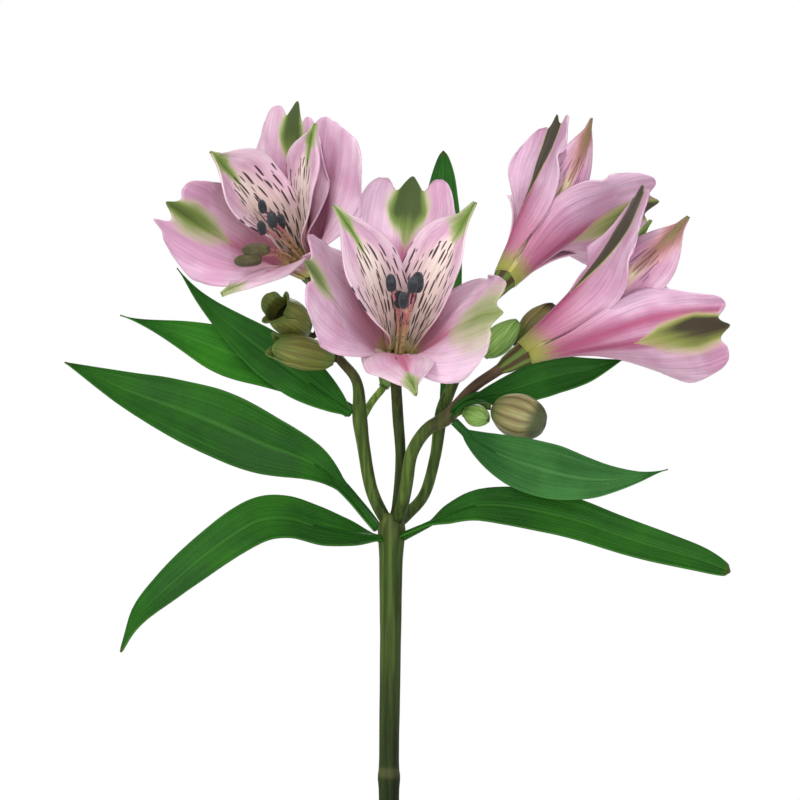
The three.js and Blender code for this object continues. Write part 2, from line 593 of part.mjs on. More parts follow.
// The pot: a tapering wall with a band round its rim, and drain holes in its floor.
function pot() {
  const innerFoot = POT.footRadius - POT.wall;
  const bandFoot = mix(POT.footRadius, POT.rimRadius - POT.bandStep, 1 - POT.bandHeight / POT.height);
  const innerRim = POT.rimRadius - POT.bandStep - POT.wall;
  const profile = [
    [0, 0], [POT.footRadius - POT.lipRound, 0], [POT.footRadius, POT.lipRound],
    [bandFoot, POT.height - POT.bandHeight], [bandFoot + POT.bandStep, POT.height - POT.bandHeight + 1],
    [POT.rimRadius, POT.height - POT.lipRound], [POT.rimRadius - POT.lipRound, POT.height],
    [innerRim + POT.lipRound, POT.height], [innerRim, POT.height - POT.lipRound],
    [innerFoot, POT.floor], [0, POT.floor],
  ];
  const turned = new THREE.LatheGeometry(profile.map(([r, z]) => new THREE.Vector2(r, z)), POT.sides);
  let body = solid(turned.rotateX(Math.PI / 2));
  for (let i = 0; i < DRAIN.count; i += 1) {
    const hole = new THREE.CylinderGeometry(DRAIN.radius, DRAIN.radius, 3 * POT.floor, 12);
    hole.rotateX(Math.PI / 2).translate(DRAIN.fromMiddle, 0, 0).rotateZ(2 * Math.PI * i / DRAIN.count);
    body = body.subtract(solid(hole));
  }
  return body;
}

// Radius of the pot's inside at a height.
function potInside(height) {
  const foot = POT.footRadius - POT.wall;
  const rim = POT.rimRadius - POT.bandStep - POT.wall;
  return mix(foot, rim, (height - POT.floor) / (POT.height - POT.lipRound - POT.floor));
}

// The soil fills the pot. Its top is crowned and crumbly, and a plain hole takes the stem's foot.
function soil() {
  const low = POT.floor + GAP;
  const turnOf = (j) => 2 * Math.PI * j / SOIL.sides;
  const ringAt = (radius, height) => {
    const ring = [];
    for (let j = 0; j < SOIL.sides; j += 1) {
      ring.push(new THREE.Vector3(radius * Math.cos(turnOf(j)), radius * Math.sin(turnOf(j)), height));
    }
    return ring;
  };
  const rings = [ringAt(potInside(low) - GAP, low), ringAt(potInside(SOIL.top) - GAP, SOIL.top)];
  for (let i = 1; i < SOIL.rings; i += 1) {
    const share = 1 - i / SOIL.rings;
    const ring = ringAt(share * (potInside(SOIL.top) - GAP), SOIL.top + SOIL.crownRise * (1 - share ** 2));
    ring.forEach((point) => {
      point.z += SOIL.relief * Math.sin(0.21 * point.x + 1.3) * Math.cos(0.26 * point.y - 0.4);
      point.z += 0.5 * SOIL.relief * Math.sin(0.83 * point.x - 0.57 * point.y);
    });
    rings.push(ring);
  }
  const hole = new THREE.CylinderGeometry(STEM.footRadius + GAP, STEM.footRadius + GAP, SOIL.top, 16);
  hole.rotateX(Math.PI / 2).translate(0, 0, STEM.foot - GAP + SOIL.top / 2);
  return solid(loft(rings)).subtract(solid(hole));
}

const plant = new THREE.Group();
plant.add(meshFrom('pot', pot(), FINISH.terracotta));
plant.add(meshFrom('soil', soil(), FINISH.earth));
plant.add(meshFrom('flower_stem', flowerStem(), FINISH.stem));
Object.entries(LEAVES).forEach(([name, shape]) => {
  plant.add(meshFrom(name, leaf(shape), name.startsWith('leaf') ? FINISH.leaf : FINISH.darkLeaf));
});
Object.entries(BUDS).forEach(([name, shape]) => plant.add(meshFrom(name, bud(shape), FINISH.bud)));
Object.entries(FLOWERS).forEach(([name, flower]) => {
  plant.add(meshFrom(`flower_${name}_outer_petals`, whorl(flower, OUTER, RING.outer), FINISH.petal));
  plant.add(meshFrom(`flower_${name}_inner_petals`, whorl(flower, INNER, RING.inner), FINISH.innerPetal));
  plant.add(meshFrom(`flower_${name}_stamens`, stamens(flower), FINISH.anther));
});

export default plant;
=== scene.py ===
"""A potted Peruvian lily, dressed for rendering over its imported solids.

One flowering stem stands in a plain terracotta pot. It carries four open flowers, seven buds, five bracts
and five leaves. Each solid is replaced by one finely made piece that lies where the solid lies, so this
file repeats most sizes of the part's source. Tables and meshes hold millimetres until a piece is finished,
and a finished piece is in metres. +Z is up and the viewer looks along +Y.
"""
import json
import logging
import math
import random
from abc import ABC, abstractmethod
from collections.abc import Callable, Sequence
from dataclasses import dataclass
from enum import Enum
from functools import cached_property, partialmethod

import bmesh
import bpy
from mathutils import Matrix, Quaternion, Vector, noise


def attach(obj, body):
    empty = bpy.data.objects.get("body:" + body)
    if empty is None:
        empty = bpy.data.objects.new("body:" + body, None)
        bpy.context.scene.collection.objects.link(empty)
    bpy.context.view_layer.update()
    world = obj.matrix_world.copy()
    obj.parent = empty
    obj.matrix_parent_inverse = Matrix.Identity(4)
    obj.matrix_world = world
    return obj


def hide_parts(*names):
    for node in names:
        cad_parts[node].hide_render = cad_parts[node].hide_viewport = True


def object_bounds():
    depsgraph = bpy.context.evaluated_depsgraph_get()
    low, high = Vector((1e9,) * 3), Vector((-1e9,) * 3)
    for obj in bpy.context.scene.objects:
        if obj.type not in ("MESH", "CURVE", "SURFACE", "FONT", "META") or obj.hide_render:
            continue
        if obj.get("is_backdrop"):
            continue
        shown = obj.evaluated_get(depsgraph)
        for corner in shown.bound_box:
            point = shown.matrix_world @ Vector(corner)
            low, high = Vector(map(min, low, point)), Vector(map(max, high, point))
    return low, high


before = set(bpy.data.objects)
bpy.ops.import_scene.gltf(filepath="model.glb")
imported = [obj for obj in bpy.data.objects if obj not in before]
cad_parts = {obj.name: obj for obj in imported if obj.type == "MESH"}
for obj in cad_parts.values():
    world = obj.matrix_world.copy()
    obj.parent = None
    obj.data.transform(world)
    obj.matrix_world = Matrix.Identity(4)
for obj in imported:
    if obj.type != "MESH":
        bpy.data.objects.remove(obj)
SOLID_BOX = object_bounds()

LOG = logging.getLogger("lily")
MM = 0.001
UP = Vector((0, 0, 1))
PAINT = "Paint"
RIBS = 6
WELD = FLAT = 1e-3

# On every surface u runs across from -1 to 1 and v along from 0 to 1.
Rgb = Place = tuple[float, float, float]
Row = tuple[float, float, float, float]
Table = tuple[Row, ...]
Surface = Callable[[float, float], Vector]
Marks = Callable[[float, float], Row]


def rgb(red: int, green: int, blue: int) -> Rgb:
    """Turns a colour as seen on a screen, 0 to 255, into the linear one that shaders take."""
    def linear(value: int) -> float:
        """Undoes the screen's curve for one channel."""
        share = value / 255
        return share / 12.92 if share <= 0.04045 else ((share + 0.055) / 1.055) ** 2.4
    return linear(red), linear(green), linear(blue)


def mix(first: float, second: float, share: float) -> float:
    """Gives the value at a share of the way from first to second."""
    return first + (second - first) * share


def clamp(value: float, low: float = 0, high: float = 1) -> float:
    """Keeps a value between low and high."""
    return min(max(value, low), high)


def smooth(low: float, high: float, value: float) -> float:
    """Rises gently from 0 at low to 1 at high."""
    share = clamp((value - low) / (high - low))
    return share * share * (3 - 2 * share)


def hump(value: float, middle: float, width: float) -> float:
    """Rises to 1 at the middle and falls off on both sides."""
    return math.exp(-((value - middle) / width) ** 2)


def between(first: Vector, second: Vector, angle: float) -> Vector:
    """Gives the direction at an angle from first towards second, which is square to it."""
    return first * math.cos(angle) + second * math.sin(angle)


def square(heading: Vector) -> tuple[Vector, Vector]:
    """Gives two directions square to a heading and to each other, the first one square to +Y too."""
    first = Vector((0, 1, 0)).cross(heading).normalized()
    return first, heading.cross(first)


def ripple(seed: float, *place: float) -> float:
    """Gives even, repeatable unevenness between about -1 and 1 at a place."""
    spot = [*place, 0, 0][:3]
    return noise.noise(Vector(spot) + Vector((seed * 7.3, seed * 3.1, seed * 5.7)))


# Finishes

@dataclass(frozen=True)
class Field:
    """A value, place or colour that varies over a surface, so that sums on it are written as sums."""
    board: "Board"
    socket: bpy.types.NodeSocket

    def calc(self, sign: str, *others: object) -> "Field":
        """Works out one sum, such as ADD or MULTIPLY, with this value first."""
        return self.board.node("Math", dict(enumerate((self, *others))), operation=sign)[0]

    __add__ = partialmethod(calc, "ADD")
    __sub__ = partialmethod(calc, "SUBTRACT")
    __mul__ = partialmethod(calc, "MULTIPLY")
    __truediv__ = partialmethod(calc, "DIVIDE")
    __abs__ = partialmethod(calc, "ABSOLUTE")

    def vector(self, sign: str, other: object = None) -> "Field":
        """Works out one sum on a place or colour, with this one first."""
        sockets = {0: self} if other is None else {0: self, 1: other}
        return self.board.node("VectorMath", sockets, operation=sign)[1 if sign == "LENGTH" else 0]

    def ramp(self, low: float, high: float, start: float = 0, end: float = 1) -> "Field":
        """Takes this value gently from start at low to end at high."""
        sockets = {"Value": self, "From Min": low, "From Max": high, "To Min": start, "To Max": end}
        return self.board.node("MapRange", sockets, interpolation_type="SMOOTHSTEP")[0]

    def lay(self, under: object, over: object) -> "Field":
        """Lays one colour over another, by this value as the share."""
        return self.board.node("Mix", {0: self, 6: under, 7: over}, data_type="RGBA")[2]

    def under(self, *layers: tuple["Field", object]) -> "Field":
        """Lays colours over this one, one after another, each by its share."""
        colour = self
        for share, over in layers:
            colour = share.lay(colour, over)
        return colour

    def shade(self, colour: "Field") -> "Field":
        """Makes a colour lighter or darker, by this value as the factor."""
        return colour.vector("MULTIPLY", self.board.join(self, self, self))

    def stretch(self, *scale: float) -> "Field":
        """Scales this place along its axes."""
        return self.vector("MULTIPLY", scale)

    def grain(self, scale: float, detail: float = 2) -> "Field":
        """Gives soft noise about 0.5 at this place."""
        return self.board.node("TexNoise", {"Vector": self, "Scale": scale, "Detail": detail})[0]

    def parts(self) -> list["Field"]:
        """Splits this place into its three numbers."""
        return self.board.node("SeparateXYZ", {0: self})


class Board:
    """The node board of one material."""

    def __init__(self, name: str) -> None:
        """Makes the material and finds its shader."""
        self.material = bpy.data.materials.new(name)
        self.material.use_nodes = True
        self.tree = self.material.node_tree
        self.shader = next(n for n in self.tree.nodes if n.type == "BSDF_PRINCIPLED")

    @cached_property
    def room(self) -> Field:
        """The place in the piece's own space, in metres."""
        return Field(self, self.tree.nodes.new("ShaderNodeTexCoord").outputs["Object"])

    @cached_property
    def map(self) -> Field:
        """The place on the piece's own map: across it and along it, 0 to 1."""
        return self.node("UVMap", uv_map="UVMap")[0]

    @cached_property
    def across(self) -> Field:
        """The share of the way across."""
        return self.map.parts()[0]

    @cached_property
    def along(self) -> Field:
        """The share of the way along."""
        return self.map.parts()[1]

    @cached_property
    def side(self) -> Field:
        """How far out a place lies: 0 on the middle line, 1 on an edge."""
        return abs(self.across * 2 - 1)

    def node(self, kind: str, inputs: dict | None = None, **settings: object) -> list[Field]:
        """Adds a node.

        Args:
            kind: The node's type, without its ShaderNode prefix.
            inputs: What goes into its sockets, by name or number.
            settings: Its other settings.
        Returns:
            What comes out of its sockets.
        """
        made = self.tree.nodes.new("ShaderNode" + kind)
        for key, value in settings.items():
            setattr(made, key, value)
        self.feed(made, inputs or {})
        return [Field(self, socket) for socket in made.outputs]

    def feed(self, node: bpy.types.Node, inputs: dict) -> None:
        """Links a node's sockets, or sets their own values."""
        for key, value in inputs.items():
            socket = node.inputs[key]
            if isinstance(value, Field):
                self.tree.links.new(value.socket, socket)
            elif isinstance(value, tuple) and socket.type == "RGBA":
                socket.default_value = (*value, 1)
            else:
                socket.default_value = value

    def join(self, *numbers: object) -> Field:
        """Joins up to three numbers into a place."""
        return self.node("CombineXYZ", dict(enumerate(numbers)))[0]

    def marks(self) -> list[Field]:
        """Gives the four painted fields of a piece."""
        _, vector, _, last = self.node("Attribute", attribute_name=PAINT)
        return [*vector.parts(), last]

    def finish(self, colour: Field, roughness: object, height: Field | None = None, depth: float = 0.0002,
               glow: tuple[float, Rgb, float] | None = None, **plain: object) -> bpy.types.Material:
        """Feeds the shader.

        Args:
            colour: The surface's colour.
            roughness: Its roughness.
            height: Its relief, if it has one.
            depth: The depth of that relief in metres.
            glow: The share, the colours' reach and the scale of the light within it.
            plain: Values that are the same all over, by socket name with _ for spaces.
        Returns:
            The material.
        """
        inputs = {"Base Color": colour, "Roughness": roughness}
        if height:
            inputs["Normal"] = self.node("Bump", {"Strength": 1.0, "Distance": depth, "Height": height})[0]
        if glow:
            inputs |= dict(zip(("Subsurface Weight", "Subsurface Radius", "Subsurface Scale"), glow))
        self.feed(self.shader, inputs | {key.replace("_", " "): value for key, value in plain.items()})
        return self.material


@dataclass(frozen=True)
class Coat(ABC):
    """The finish of a surface.

    Args:
        name: The material's name.
    """
    name: str

    @abstractmethod
    def make(self, board: Board) -> bpy.types.Material:
        """Builds the material on its board."""


@dataclass(frozen=True)
class PetalCoat(Coat):
    """One side of a petal. Painted fields: green patch, magenta, cream and dashes.

    Args:
        main: Colour of the open blade.
        pale: Colour of its lighter drifts and its edges.
        throat: Colour low down; on the faces and the inner backs it is lighter than the petal's own colour, as painted
            light in the shaded inside of the flower.
        claw: Colour at the foot; on the faces and the inner backs it is lighter than the petal's own colour, as painted
            light in the shaded inside of the flower.
        deep: Colour of the magenta shading.
        cream: Colour of the cream shading.
        rib: Colours of the rib along a petal's back, low down and near its tip.
        patch: Colours of the green patch from its border to its middle.
        vein: How strongly the fine veins show.
        speckled: How strongly it carries the dark dashes.
    """
    main: Rgb
    pale: Rgb
    throat: Rgb
    claw: Rgb
    deep: Rgb
    cream: Rgb
    rib: tuple[Rgb, Rgb] | None = None
    patch: tuple[Rgb, Rgb, Rgb] = (rgb(180, 186, 134), rgb(118, 150, 62), rgb(84, 100, 48))
    vein: float = 0.16
    speckled: float = 0.0

    def make(self, board: Board) -> bpy.types.Material:
        """Builds the material: drifts, fine lines, the painted magenta and cream, the throat and foot lightened as
        painted light, veins, the green patch, dashes.
        """
        along = board.along
        green, magenta, cream, dashes = board.marks()
        drift = board.room.grain(70, 3)
        fibre = board.map.stretch(26, 1.7, 1).grain(1, 4)
        fine = board.map.stretch(95, 5, 1).grain(1)
        lines = board.map.stretch(48, 2.4, 1).grain(1, 3)
        ragged = fibre * 0.9 - 0.45
        # The throat colour low down: on the faces and the inner backs it is lighter than the petal's own, as painted
        # light in the shaded inside of the flower.
        colour = (drift + board.side.ramp(0.45, 1) * 0.2).ramp(0.42, 0.72).lay(self.main, self.pale).under(
            ((ragged * 0.3 + along).ramp(0.55, 0.12), self.throat),
            (lines.ramp(0.54, 0.72) * along.ramp(0.95, 0.3, 0.12, 0.4), self.deep),
            ((magenta + ragged).ramp(0, 0.9, 0, 0.9), self.deep),
            ((ragged * 0.6 + cream).ramp(-0.1, 0.8), self.cream))
        if self.rib:
            side = ragged * 0.12 + board.side
            colour = colour.under((side.ramp(0.2, 0.03) * along.ramp(0.05, 0.25, 0, 0.85), self.rib[0]),
                                  (side.ramp(0.2, 0.08) * along.ramp(0.6, 0.84, 0, 0.9), self.rib[1]))
        # The claw colour at the foot: on the faces and the inner backs it is lighter than the petal's own, as painted
        # light in the shaded inside of the flower.
        colour = (ragged * 0.2 + along).ramp(0.17, 0.02).lay(colour, self.claw)
        veins = fibre.ramp(0.3, 0.7) * self.vein + (1 - self.vein / 2)
        colour = (veins * fine.ramp(0.3, 0.7, 1 - self.vein / 2, 1 + self.vein / 3)).shade(colour)
        amount = ragged * 0.6 + green
        for (low, high, most), shade in zip(((-0.3, 0.35, 0.8), (0.05, 0.7, 0.95), (0.5, 1.3, 1)), self.patch):
            colour = amount.ramp(low, high, 0, most).lay(colour, shade)
        if self.speckled:
            colour = (self.dashes(board, dashes) * self.speckled).lay(colour, rgb(54, 22, 32))
        return board.finish(colour, drift.ramp(0.3, 0.7, 0.5, 0.62), fibre + fine * 0.4, 0.0003,
                            (0.2, (0.9, 0.55, 0.6), 0.0009), Sheen_Weight=0.06, Specular_IOR_Level=0.25)

    @staticmethod
    def dashes(board: Board, amount: Field) -> Field:
        """Gives the share of dark dashes on lines that run out from the throat."""
        lanes, cells = 12.5, 9.5
        grid = board.join(board.across * lanes, board.along * cells)
        spots = board.node("TexVoronoi", {"Vector": grid, "Scale": 1.0, "Randomness": 0.85}, voronoi_dimensions="2D")
        chance, size, _ = spots[1].parts()
        away = grid.vector("SUBTRACT", spots[2])
        reach = away.vector("MULTIPLY", board.join(board.along.ramp(0.1, 0.65, 2.9, 6), 1.75)).vector("LENGTH")
        return (reach / (size * 0.9 + 0.45)).ramp(1.15, 0.75) * (amount - chance * 0.7).ramp(-0.02, 0.06)


@dataclass(frozen=True)
class LeafCoat(Coat):
    """A leaf's blade with its parallel veins.

    Args:
        main: Colour of the blade.
        dark: Colour of its darker drifts and its foot.
        light: Colour of the veins and the light drifts.
    """
    main: Rgb
    dark: Rgb
    light: Rgb

    def make(self, board: Board) -> bpy.types.Material:
        """Builds the material."""
        drift = board.room.grain(55, 4)
        streak = board.map.stretch(30, 1.4, 1).grain(1, 3)
        wobble = board.map.stretch(9, 1.2, 1).grain(1) * 0.12 + board.across
        vein = (wobble * 100).calc("SINE").ramp(0.2, 1) * streak.ramp(0.35, 0.65, 0.2, 1)
        colour = (streak * 0.6 + drift).ramp(0.62, 1.05).lay(self.dark, self.main).under(
            (vein * 0.28, self.light), (board.side.ramp(0.12, 0, 0, 0.35), self.light),
            (board.side.ramp(0.93, 1, 0, 0.4), self.light), (board.along.ramp(0.97, 1, 0, 0.6), rgb(92, 84, 40)))
        return board.finish(colour, drift.ramp(0.3, 0.7, 0.42, 0.56), vein * 0.6 + streak * 0.7, 0.00022,
                            (0.04, (0.4, 0.7, 0.2), 0.0008), Specular_IOR_Level=0.15)


class StemCoat(Coat):
    """The skin of the stem and its branches. Painted fields: brown, ovary, scar, dark. The dark field holds painted
    shade on the stalks' right side and at the fork, and painted light on the hidden twig.
    """

    def make(self, board: Board) -> bpy.types.Material:
        """Builds the material."""
        brown, ovary, scar, dark = board.marks()
        level = board.room.parts()[2]
        drift = board.room.grain(90, 4)
        streak = board.room.stretch(900, 900, 45).grain(1, 3)
        green = level.ramp(0.15, 0.24, 0.2).shade(streak.ramp(0.35, 0.68).lay(rgb(50, 68, 24), rgb(80, 102, 42)))
        purple = drift.ramp(0.35, 0.65).lay(rgb(66, 50, 36), rgb(94, 76, 58))
        rib = (board.across * (RIBS * math.tau)).calc("COSINE").ramp(-0.6, 0.7)
        colour = green.under(((drift * 0.4 + brown).ramp(0.2, 1.1), purple),
                             (ovary, rib.lay(rgb(78, 62, 42), rgb(98, 122, 56))), (scar, rgb(120, 120, 76)))
        # The dark field makes the skin darker or lighter: painted shade on the stalks' right side and at the fork,
        # painted light on the hidden twig.
        colour = board.node("Math", {0: 0.3, 1: dark}, operation="POWER")[0].shade(colour)
        return board.finish(colour, drift.ramp(0.3, 0.7, 0.42, 0.58), streak + drift * 0.5, 0.00025,
                            (0.05, (0.5, 0.8, 0.3), 0.001), Specular_IOR_Level=0.12)


@dataclass(frozen=True)
class BudCoat(Coat):
    """The sepals of a bud, with dark stripes along them. Painted fields: stripes, dark tip, green, and painted shade in
    the open mouth.

    Args:
        main: Colour of the sepals.
        light: Colour of their lighter ribs.
        stripe: Colour of the stripes.
        tip: Colour towards the tip.
    """
    main: Rgb
    light: Rgb
    stripe: Rgb
    tip: Rgb

    def make(self, board: Board) -> bpy.types.Material:
        """Builds the material."""
        stripes, end, green, mouth_shade = board.marks()
        drift = board.room.grain(260, 3)
        streak = board.map.stretch(26, 1.6, 1).grain(1, 3)
        # Within an open bud's mouth the core is painted dark, as painted shade.
        colour = streak.ramp(0.38, 0.66).lay(self.main, self.light).under(
            ((streak * 0.9 + (stripes - 0.45)).ramp(0.25, 0.8, 0, 0.85), self.stripe),
            (green.ramp(0, 1), rgb(92, 132, 56)), ((drift * 0.3 + end).ramp(0.2, 1.1), self.tip),
            (mouth_shade, rgb(40, 42, 20)))
        return board.finish(colour, drift.ramp(0.3, 0.7, 0.42, 0.6), streak + drift * 0.4, 0.0003,
                            (0.08, (0.6, 0.7, 0.3), 0.0009), Specular_IOR_Level=0.35)


class FilamentCoat(Coat):
    """The flushed filaments and the style."""

    def make(self, board: Board) -> bpy.types.Material:
        """Builds the material."""
        drift = board.room.grain(700)
        colour = board.along.ramp(0.35, 0.85).lay(rgb(222, 200, 152), rgb(204, 122, 138))
        colour = drift.ramp(0.56, 0.64, 0, 0.7).lay(colour, rgb(92, 28, 40))
        return board.finish(colour, 0.45, drift, 0.0001, (0.1, (0.6, 0.4, 0.3), 0.0006))


@dataclass(frozen=True)
class AntherCoat(Coat):
    """The powdery skin of an anther.

    Args:
        main: Colour of the skin.
        powder: Colour of the pollen on it.
    """
    main: Rgb
    powder: Rgb

    def make(self, board: Board) -> bpy.types.Material:
        """Builds the material."""
        drift, dust = board.room.grain(500, 3), board.room.grain(2600)
        colour = (dust * 0.7 + drift).ramp(0.72, 1.1).lay(self.main, self.powder)
        return board.finish(colour, 0.82, dust, 0.00025, Sheen_Weight=0.15)


class ClayCoat(Coat):
    """Unglazed terracotta, with turning lines, a damp foot and pale bloom."""

    def make(self, board: Board) -> bpy.types.Material:
        """Builds the material."""
        level = board.room.parts()[2]
        cloud, grit = board.room.grain(28, 5), board.room.grain(1100, 3)
        lines = board.room.stretch(4, 4, 900).grain(1)
        bloom = cloud.ramp(0.52, 0.74) * level.ramp(0.012, 0.07, 0.75, 0.15)
        colour = cloud.ramp(0.36, 0.66).lay(rgb(168, 92, 58), rgb(200, 124, 84)).under(
            (grit.ramp(0.62, 0.7, 0, 0.5), rgb(222, 168, 130)),
            (grit.ramp(0.36, 0.3, 0, 0.45), rgb(112, 58, 38)),
            ((cloud * 0.03 + level).ramp(0.036, 0.008, 0, 0.35), rgb(118, 62, 42)),
            (bloom, rgb(226, 196, 172)))
        return board.finish(colour, cloud.ramp(0.3, 0.7, 0.92, 0.78), lines * 0.8 + grit * 0.5, 0.0006,
                            Specular_IOR_Level=0.25)


class EarthCoat(Coat):
    """Damp potting soil with lighter fibre. Painted fields: lightness of a crumb, pale grain, bark."""

    def make(self, board: Board) -> bpy.types.Material:
        """Builds the material."""
        light, pale, bark, _ = board.marks()
        coarse, fine = board.room.grain(160, 6), board.room.grain(1300, 4)
        colour = coarse.ramp(0.35, 0.68).lay(rgb(38, 27, 20), rgb(74, 54, 40)).under(
            (light * 0.6, rgb(104, 78, 56)), (fine.ramp(0.64, 0.72, 0, 0.5), rgb(132, 104, 76)),
            (bark, rgb(112, 72, 44)), (pale, rgb(224, 220, 208)))
        return board.finish(colour, 0.95, coarse + fine * 0.5, 0.0012, Specular_IOR_Level=0.2)


class PaperCoat(Coat):
    """The pale, matt floor of the studio."""

    def make(self, board: Board) -> bpy.types.Material:
        """Builds the material."""
        return board.finish(board.room.grain(6).ramp(0.3, 0.7).lay(rgb(238, 238, 236), rgb(244, 244, 242)), 0.9)


class Finish(Enum):
    """Every finish on the plant and round it."""
    # On the faces and the inner backs the throat and claw colours are lighter than the petals' own, as painted light in
    # the shaded inside of the flower.
    OUTER_FACE = PetalCoat("outer_petal_face", rgb(205, 158, 187), rgb(223, 192, 212), rgb(220, 158, 184),
                           rgb(236, 226, 150), rgb(182, 82, 122), rgb(224, 202, 182),
                           patch=(rgb(184, 188, 140), rgb(112, 138, 58), rgb(66, 84, 38)))
    OUTER_BACK = PetalCoat("outer_petal_back", rgb(194, 144, 174), rgb(214, 178, 202), rgb(190, 122, 150),
                           rgb(158, 160, 76), rgb(166, 74, 114), rgb(204, 188, 140),
                           (rgb(156, 66, 104), rgb(66, 56, 58)),
                           (rgb(182, 172, 122), rgb(130, 140, 66), rgb(62, 54, 38)), vein=0.22)
    INNER_FACE = PetalCoat("inner_petal_face", rgb(212, 168, 194), rgb(228, 200, 214), rgb(250, 232, 208),
                           rgb(250, 244, 172), rgb(188, 84, 124), rgb(242, 224, 216), speckled=0.93)
    INNER_BACK = PetalCoat("inner_petal_back", rgb(200, 146, 176), rgb(216, 180, 200), rgb(212, 162, 172),
                           rgb(206, 206, 112), rgb(176, 84, 122), rgb(228, 206, 178),
                           (rgb(222, 210, 168), rgb(152, 106, 110)),
                           (rgb(206, 160, 158), rgb(160, 110, 106), rgb(122, 122, 66)), vein=0.24, speckled=0.5)
    LEAF = LeafCoat("leaf_blade", rgb(38, 100, 18), rgb(22, 72, 14), rgb(66, 128, 42))
    # A lighter copy of the leaf finish: painted light on a bract that lies in shade.
    PAINTED_LIGHT_LEAF = LeafCoat("painted_light_leaf_blade", rgb(48, 122, 22), rgb(28, 90, 18), rgb(78, 146, 50))
    DARK_LEAF = LeafCoat("dark_leaf_blade", rgb(42, 106, 26), rgb(25, 78, 18), rgb(70, 132, 48))
    BLUE_LEAF = LeafCoat("bluish_leaf_blade", rgb(60, 120, 54), rgb(36, 90, 36), rgb(92, 150, 82))
    STEM = StemCoat("stem_skin")
    OLIVE_BUD = BudCoat("olive_bud", rgb(102, 112, 42), rgb(138, 142, 72), rgb(88, 66, 36), rgb(86, 112, 44))
    STRAW_BUD = BudCoat("straw_bud", rgb(150, 144, 92), rgb(178, 172, 122), rgb(100, 80, 46), rgb(78, 88, 52))
    GREEN_BUD = BudCoat("green_bud", rgb(106, 150, 60), rgb(154, 186, 104), rgb(70, 110, 42), rgb(64, 100, 38))
    BROWN_BUD = BudCoat("brown_bud", rgb(108, 100, 50), rgb(132, 126, 70), rgb(84, 60, 34), rgb(58, 50, 28))
    FILAMENT = FilamentCoat("filament_skin")
    ANTHER = AntherCoat("ripe_anther", rgb(26, 30, 36), rgb(58, 66, 72))
    CLOSED_ANTHER = AntherCoat("closed_anther", rgb(62, 60, 32), rgb(92, 86, 50))
    CLAY = ClayCoat("terracotta")
    EARTH = EarthCoat("earth")
    PAPER = PaperCoat("studio_floor")

    def material(self) -> bpy.types.Material:
        """Gives the finish's material, made the first time that it is asked for."""
        return bpy.data.materials.get(self.value.name) or self.value.make(Board(self.value.name))


# Shared ways of making a mesh

def unpainted(*_: float) -> Row:
    """Gives the painted fields of a plain surface."""
    return 0, 0, 0, 0


def bake(mesh: bmesh.types.BMesh, name: str) -> bpy.types.Mesh:
    """Turns a mesh being made into a finished one."""
    data = bpy.data.meshes.new(name)
    mesh.to_mesh(data)
    mesh.free()
    return data


def put(name: str, data: bpy.types.ID) -> bpy.types.Object:
    """Puts a new object into the scene."""
    made = bpy.data.objects.new(name, data)
    bpy.context.collection.objects.link(made)
    return made


class Draft:
    """A mesh being made, in millimetres, with a map and four painted fields."""

    def __init__(self) -> None:
        """Starts empty."""
        self.mesh = bmesh.new()
        self.mesh.loops.layers.uv.new("UVMap")
        self.paint = self.mesh.verts.layers.float_color.new(PAINT)

    def sheet(self, columns: int, rows: int, at: Surface, marks: Marks = unpainted, material: int = 0,
              welded: bool = False, thickness: float = 0) -> None:
        """Lays a grid of faces on a surface.

        Args:
            columns: Faces across.
            rows: Faces along.
            at: The place for u across, -1 to 1, and v along, 0 to 1.
            marks: The painted fields for u and v.
            material: The faces' material number.
            welded: Whether the sides meet or the ends close, so that doubles are merged.
            thickness: Its thickness, half of it to each side, or 0 for none.
        """
        verts = bmesh.ops.create_grid(self.mesh, x_segments=columns, y_segments=rows, size=1, calc_uvs=True)["verts"]
        for vert in verts:
            u, v = vert.co.x, (vert.co.y + 1) / 2
            vert[self.paint] = marks(u, v)
            vert.co = at(u, v)
        faces = list(dict.fromkeys(face for vert in verts for face in vert.link_faces))
        for face in faces:
            face.material_index = material
        if welded:
            bmesh.ops.remove_doubles(self.mesh, verts=verts, dist=WELD)
            bmesh.ops.recalc_face_normals(self.mesh, faces=[face for face in faces if face.is_valid])
        if thickness:
            self.mesh.normal_update()
            for vert in verts:
                vert.co += vert.normal * (thickness / 2)
            bmesh.ops.solidify(self.mesh, geom=faces, thickness=thickness)

    def tube(self, table: Sequence[Row], sides: int, rows: int, marks: Marks = unpainted, material: int = 0,
             swell: Callable[[float, float], float] = lambda angle, share: 1) -> None:
        """Lays a closed round stalk along a route.

        Args:
            table: The route's points, each with the radius there.
            sides: Faces round it.
            rows: Faces along it.
            marks: The painted fields for u and v.
            material: The faces' material number.
            swell: A factor on the radius for the angle and the share of the length.
        """
        route = Route(table)

        def at(u: float, v: float) -> Vector:
            """Gives a place on the stalk's skin."""
            share = clamp((v * rows - 1) / (rows - 2))
            place, heading, radius = route.at(share)
            if v in (0, 1):
                return place
            angle = math.pi * u
            return place + between(*square(heading), angle) * (radius * swell(angle, share))
        self.sheet(sides, rows, at, marks, material, welded=True)

    def piece(self, node: str, slot: str, finishes: Sequence[Finish], way: str = "grown") -> bpy.types.Object:
        """Finishes the mesh as a piece that stands for a solid.

        Args:
            node: The solid that it replaces.
            slot: Not used.
            finishes: The finishes of its material numbers.
            way: How it came about, for its name.
        Returns:
            The piece.
        """
        bmesh.ops.scale(self.mesh, verts=self.mesh.verts, vec=(MM, MM, MM))
        for face in self.mesh.faces:
            face.smooth = True
        name = f"{node}_{way}"
        data = bake(self.mesh, name)
        for finish in finishes:
            data.materials.append(finish.material())
        made = put(name, data)
        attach(made, "root")
        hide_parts(node)
        LOG.info("%s: %d faces for %s", name, len(data.polygons), node)
        return made


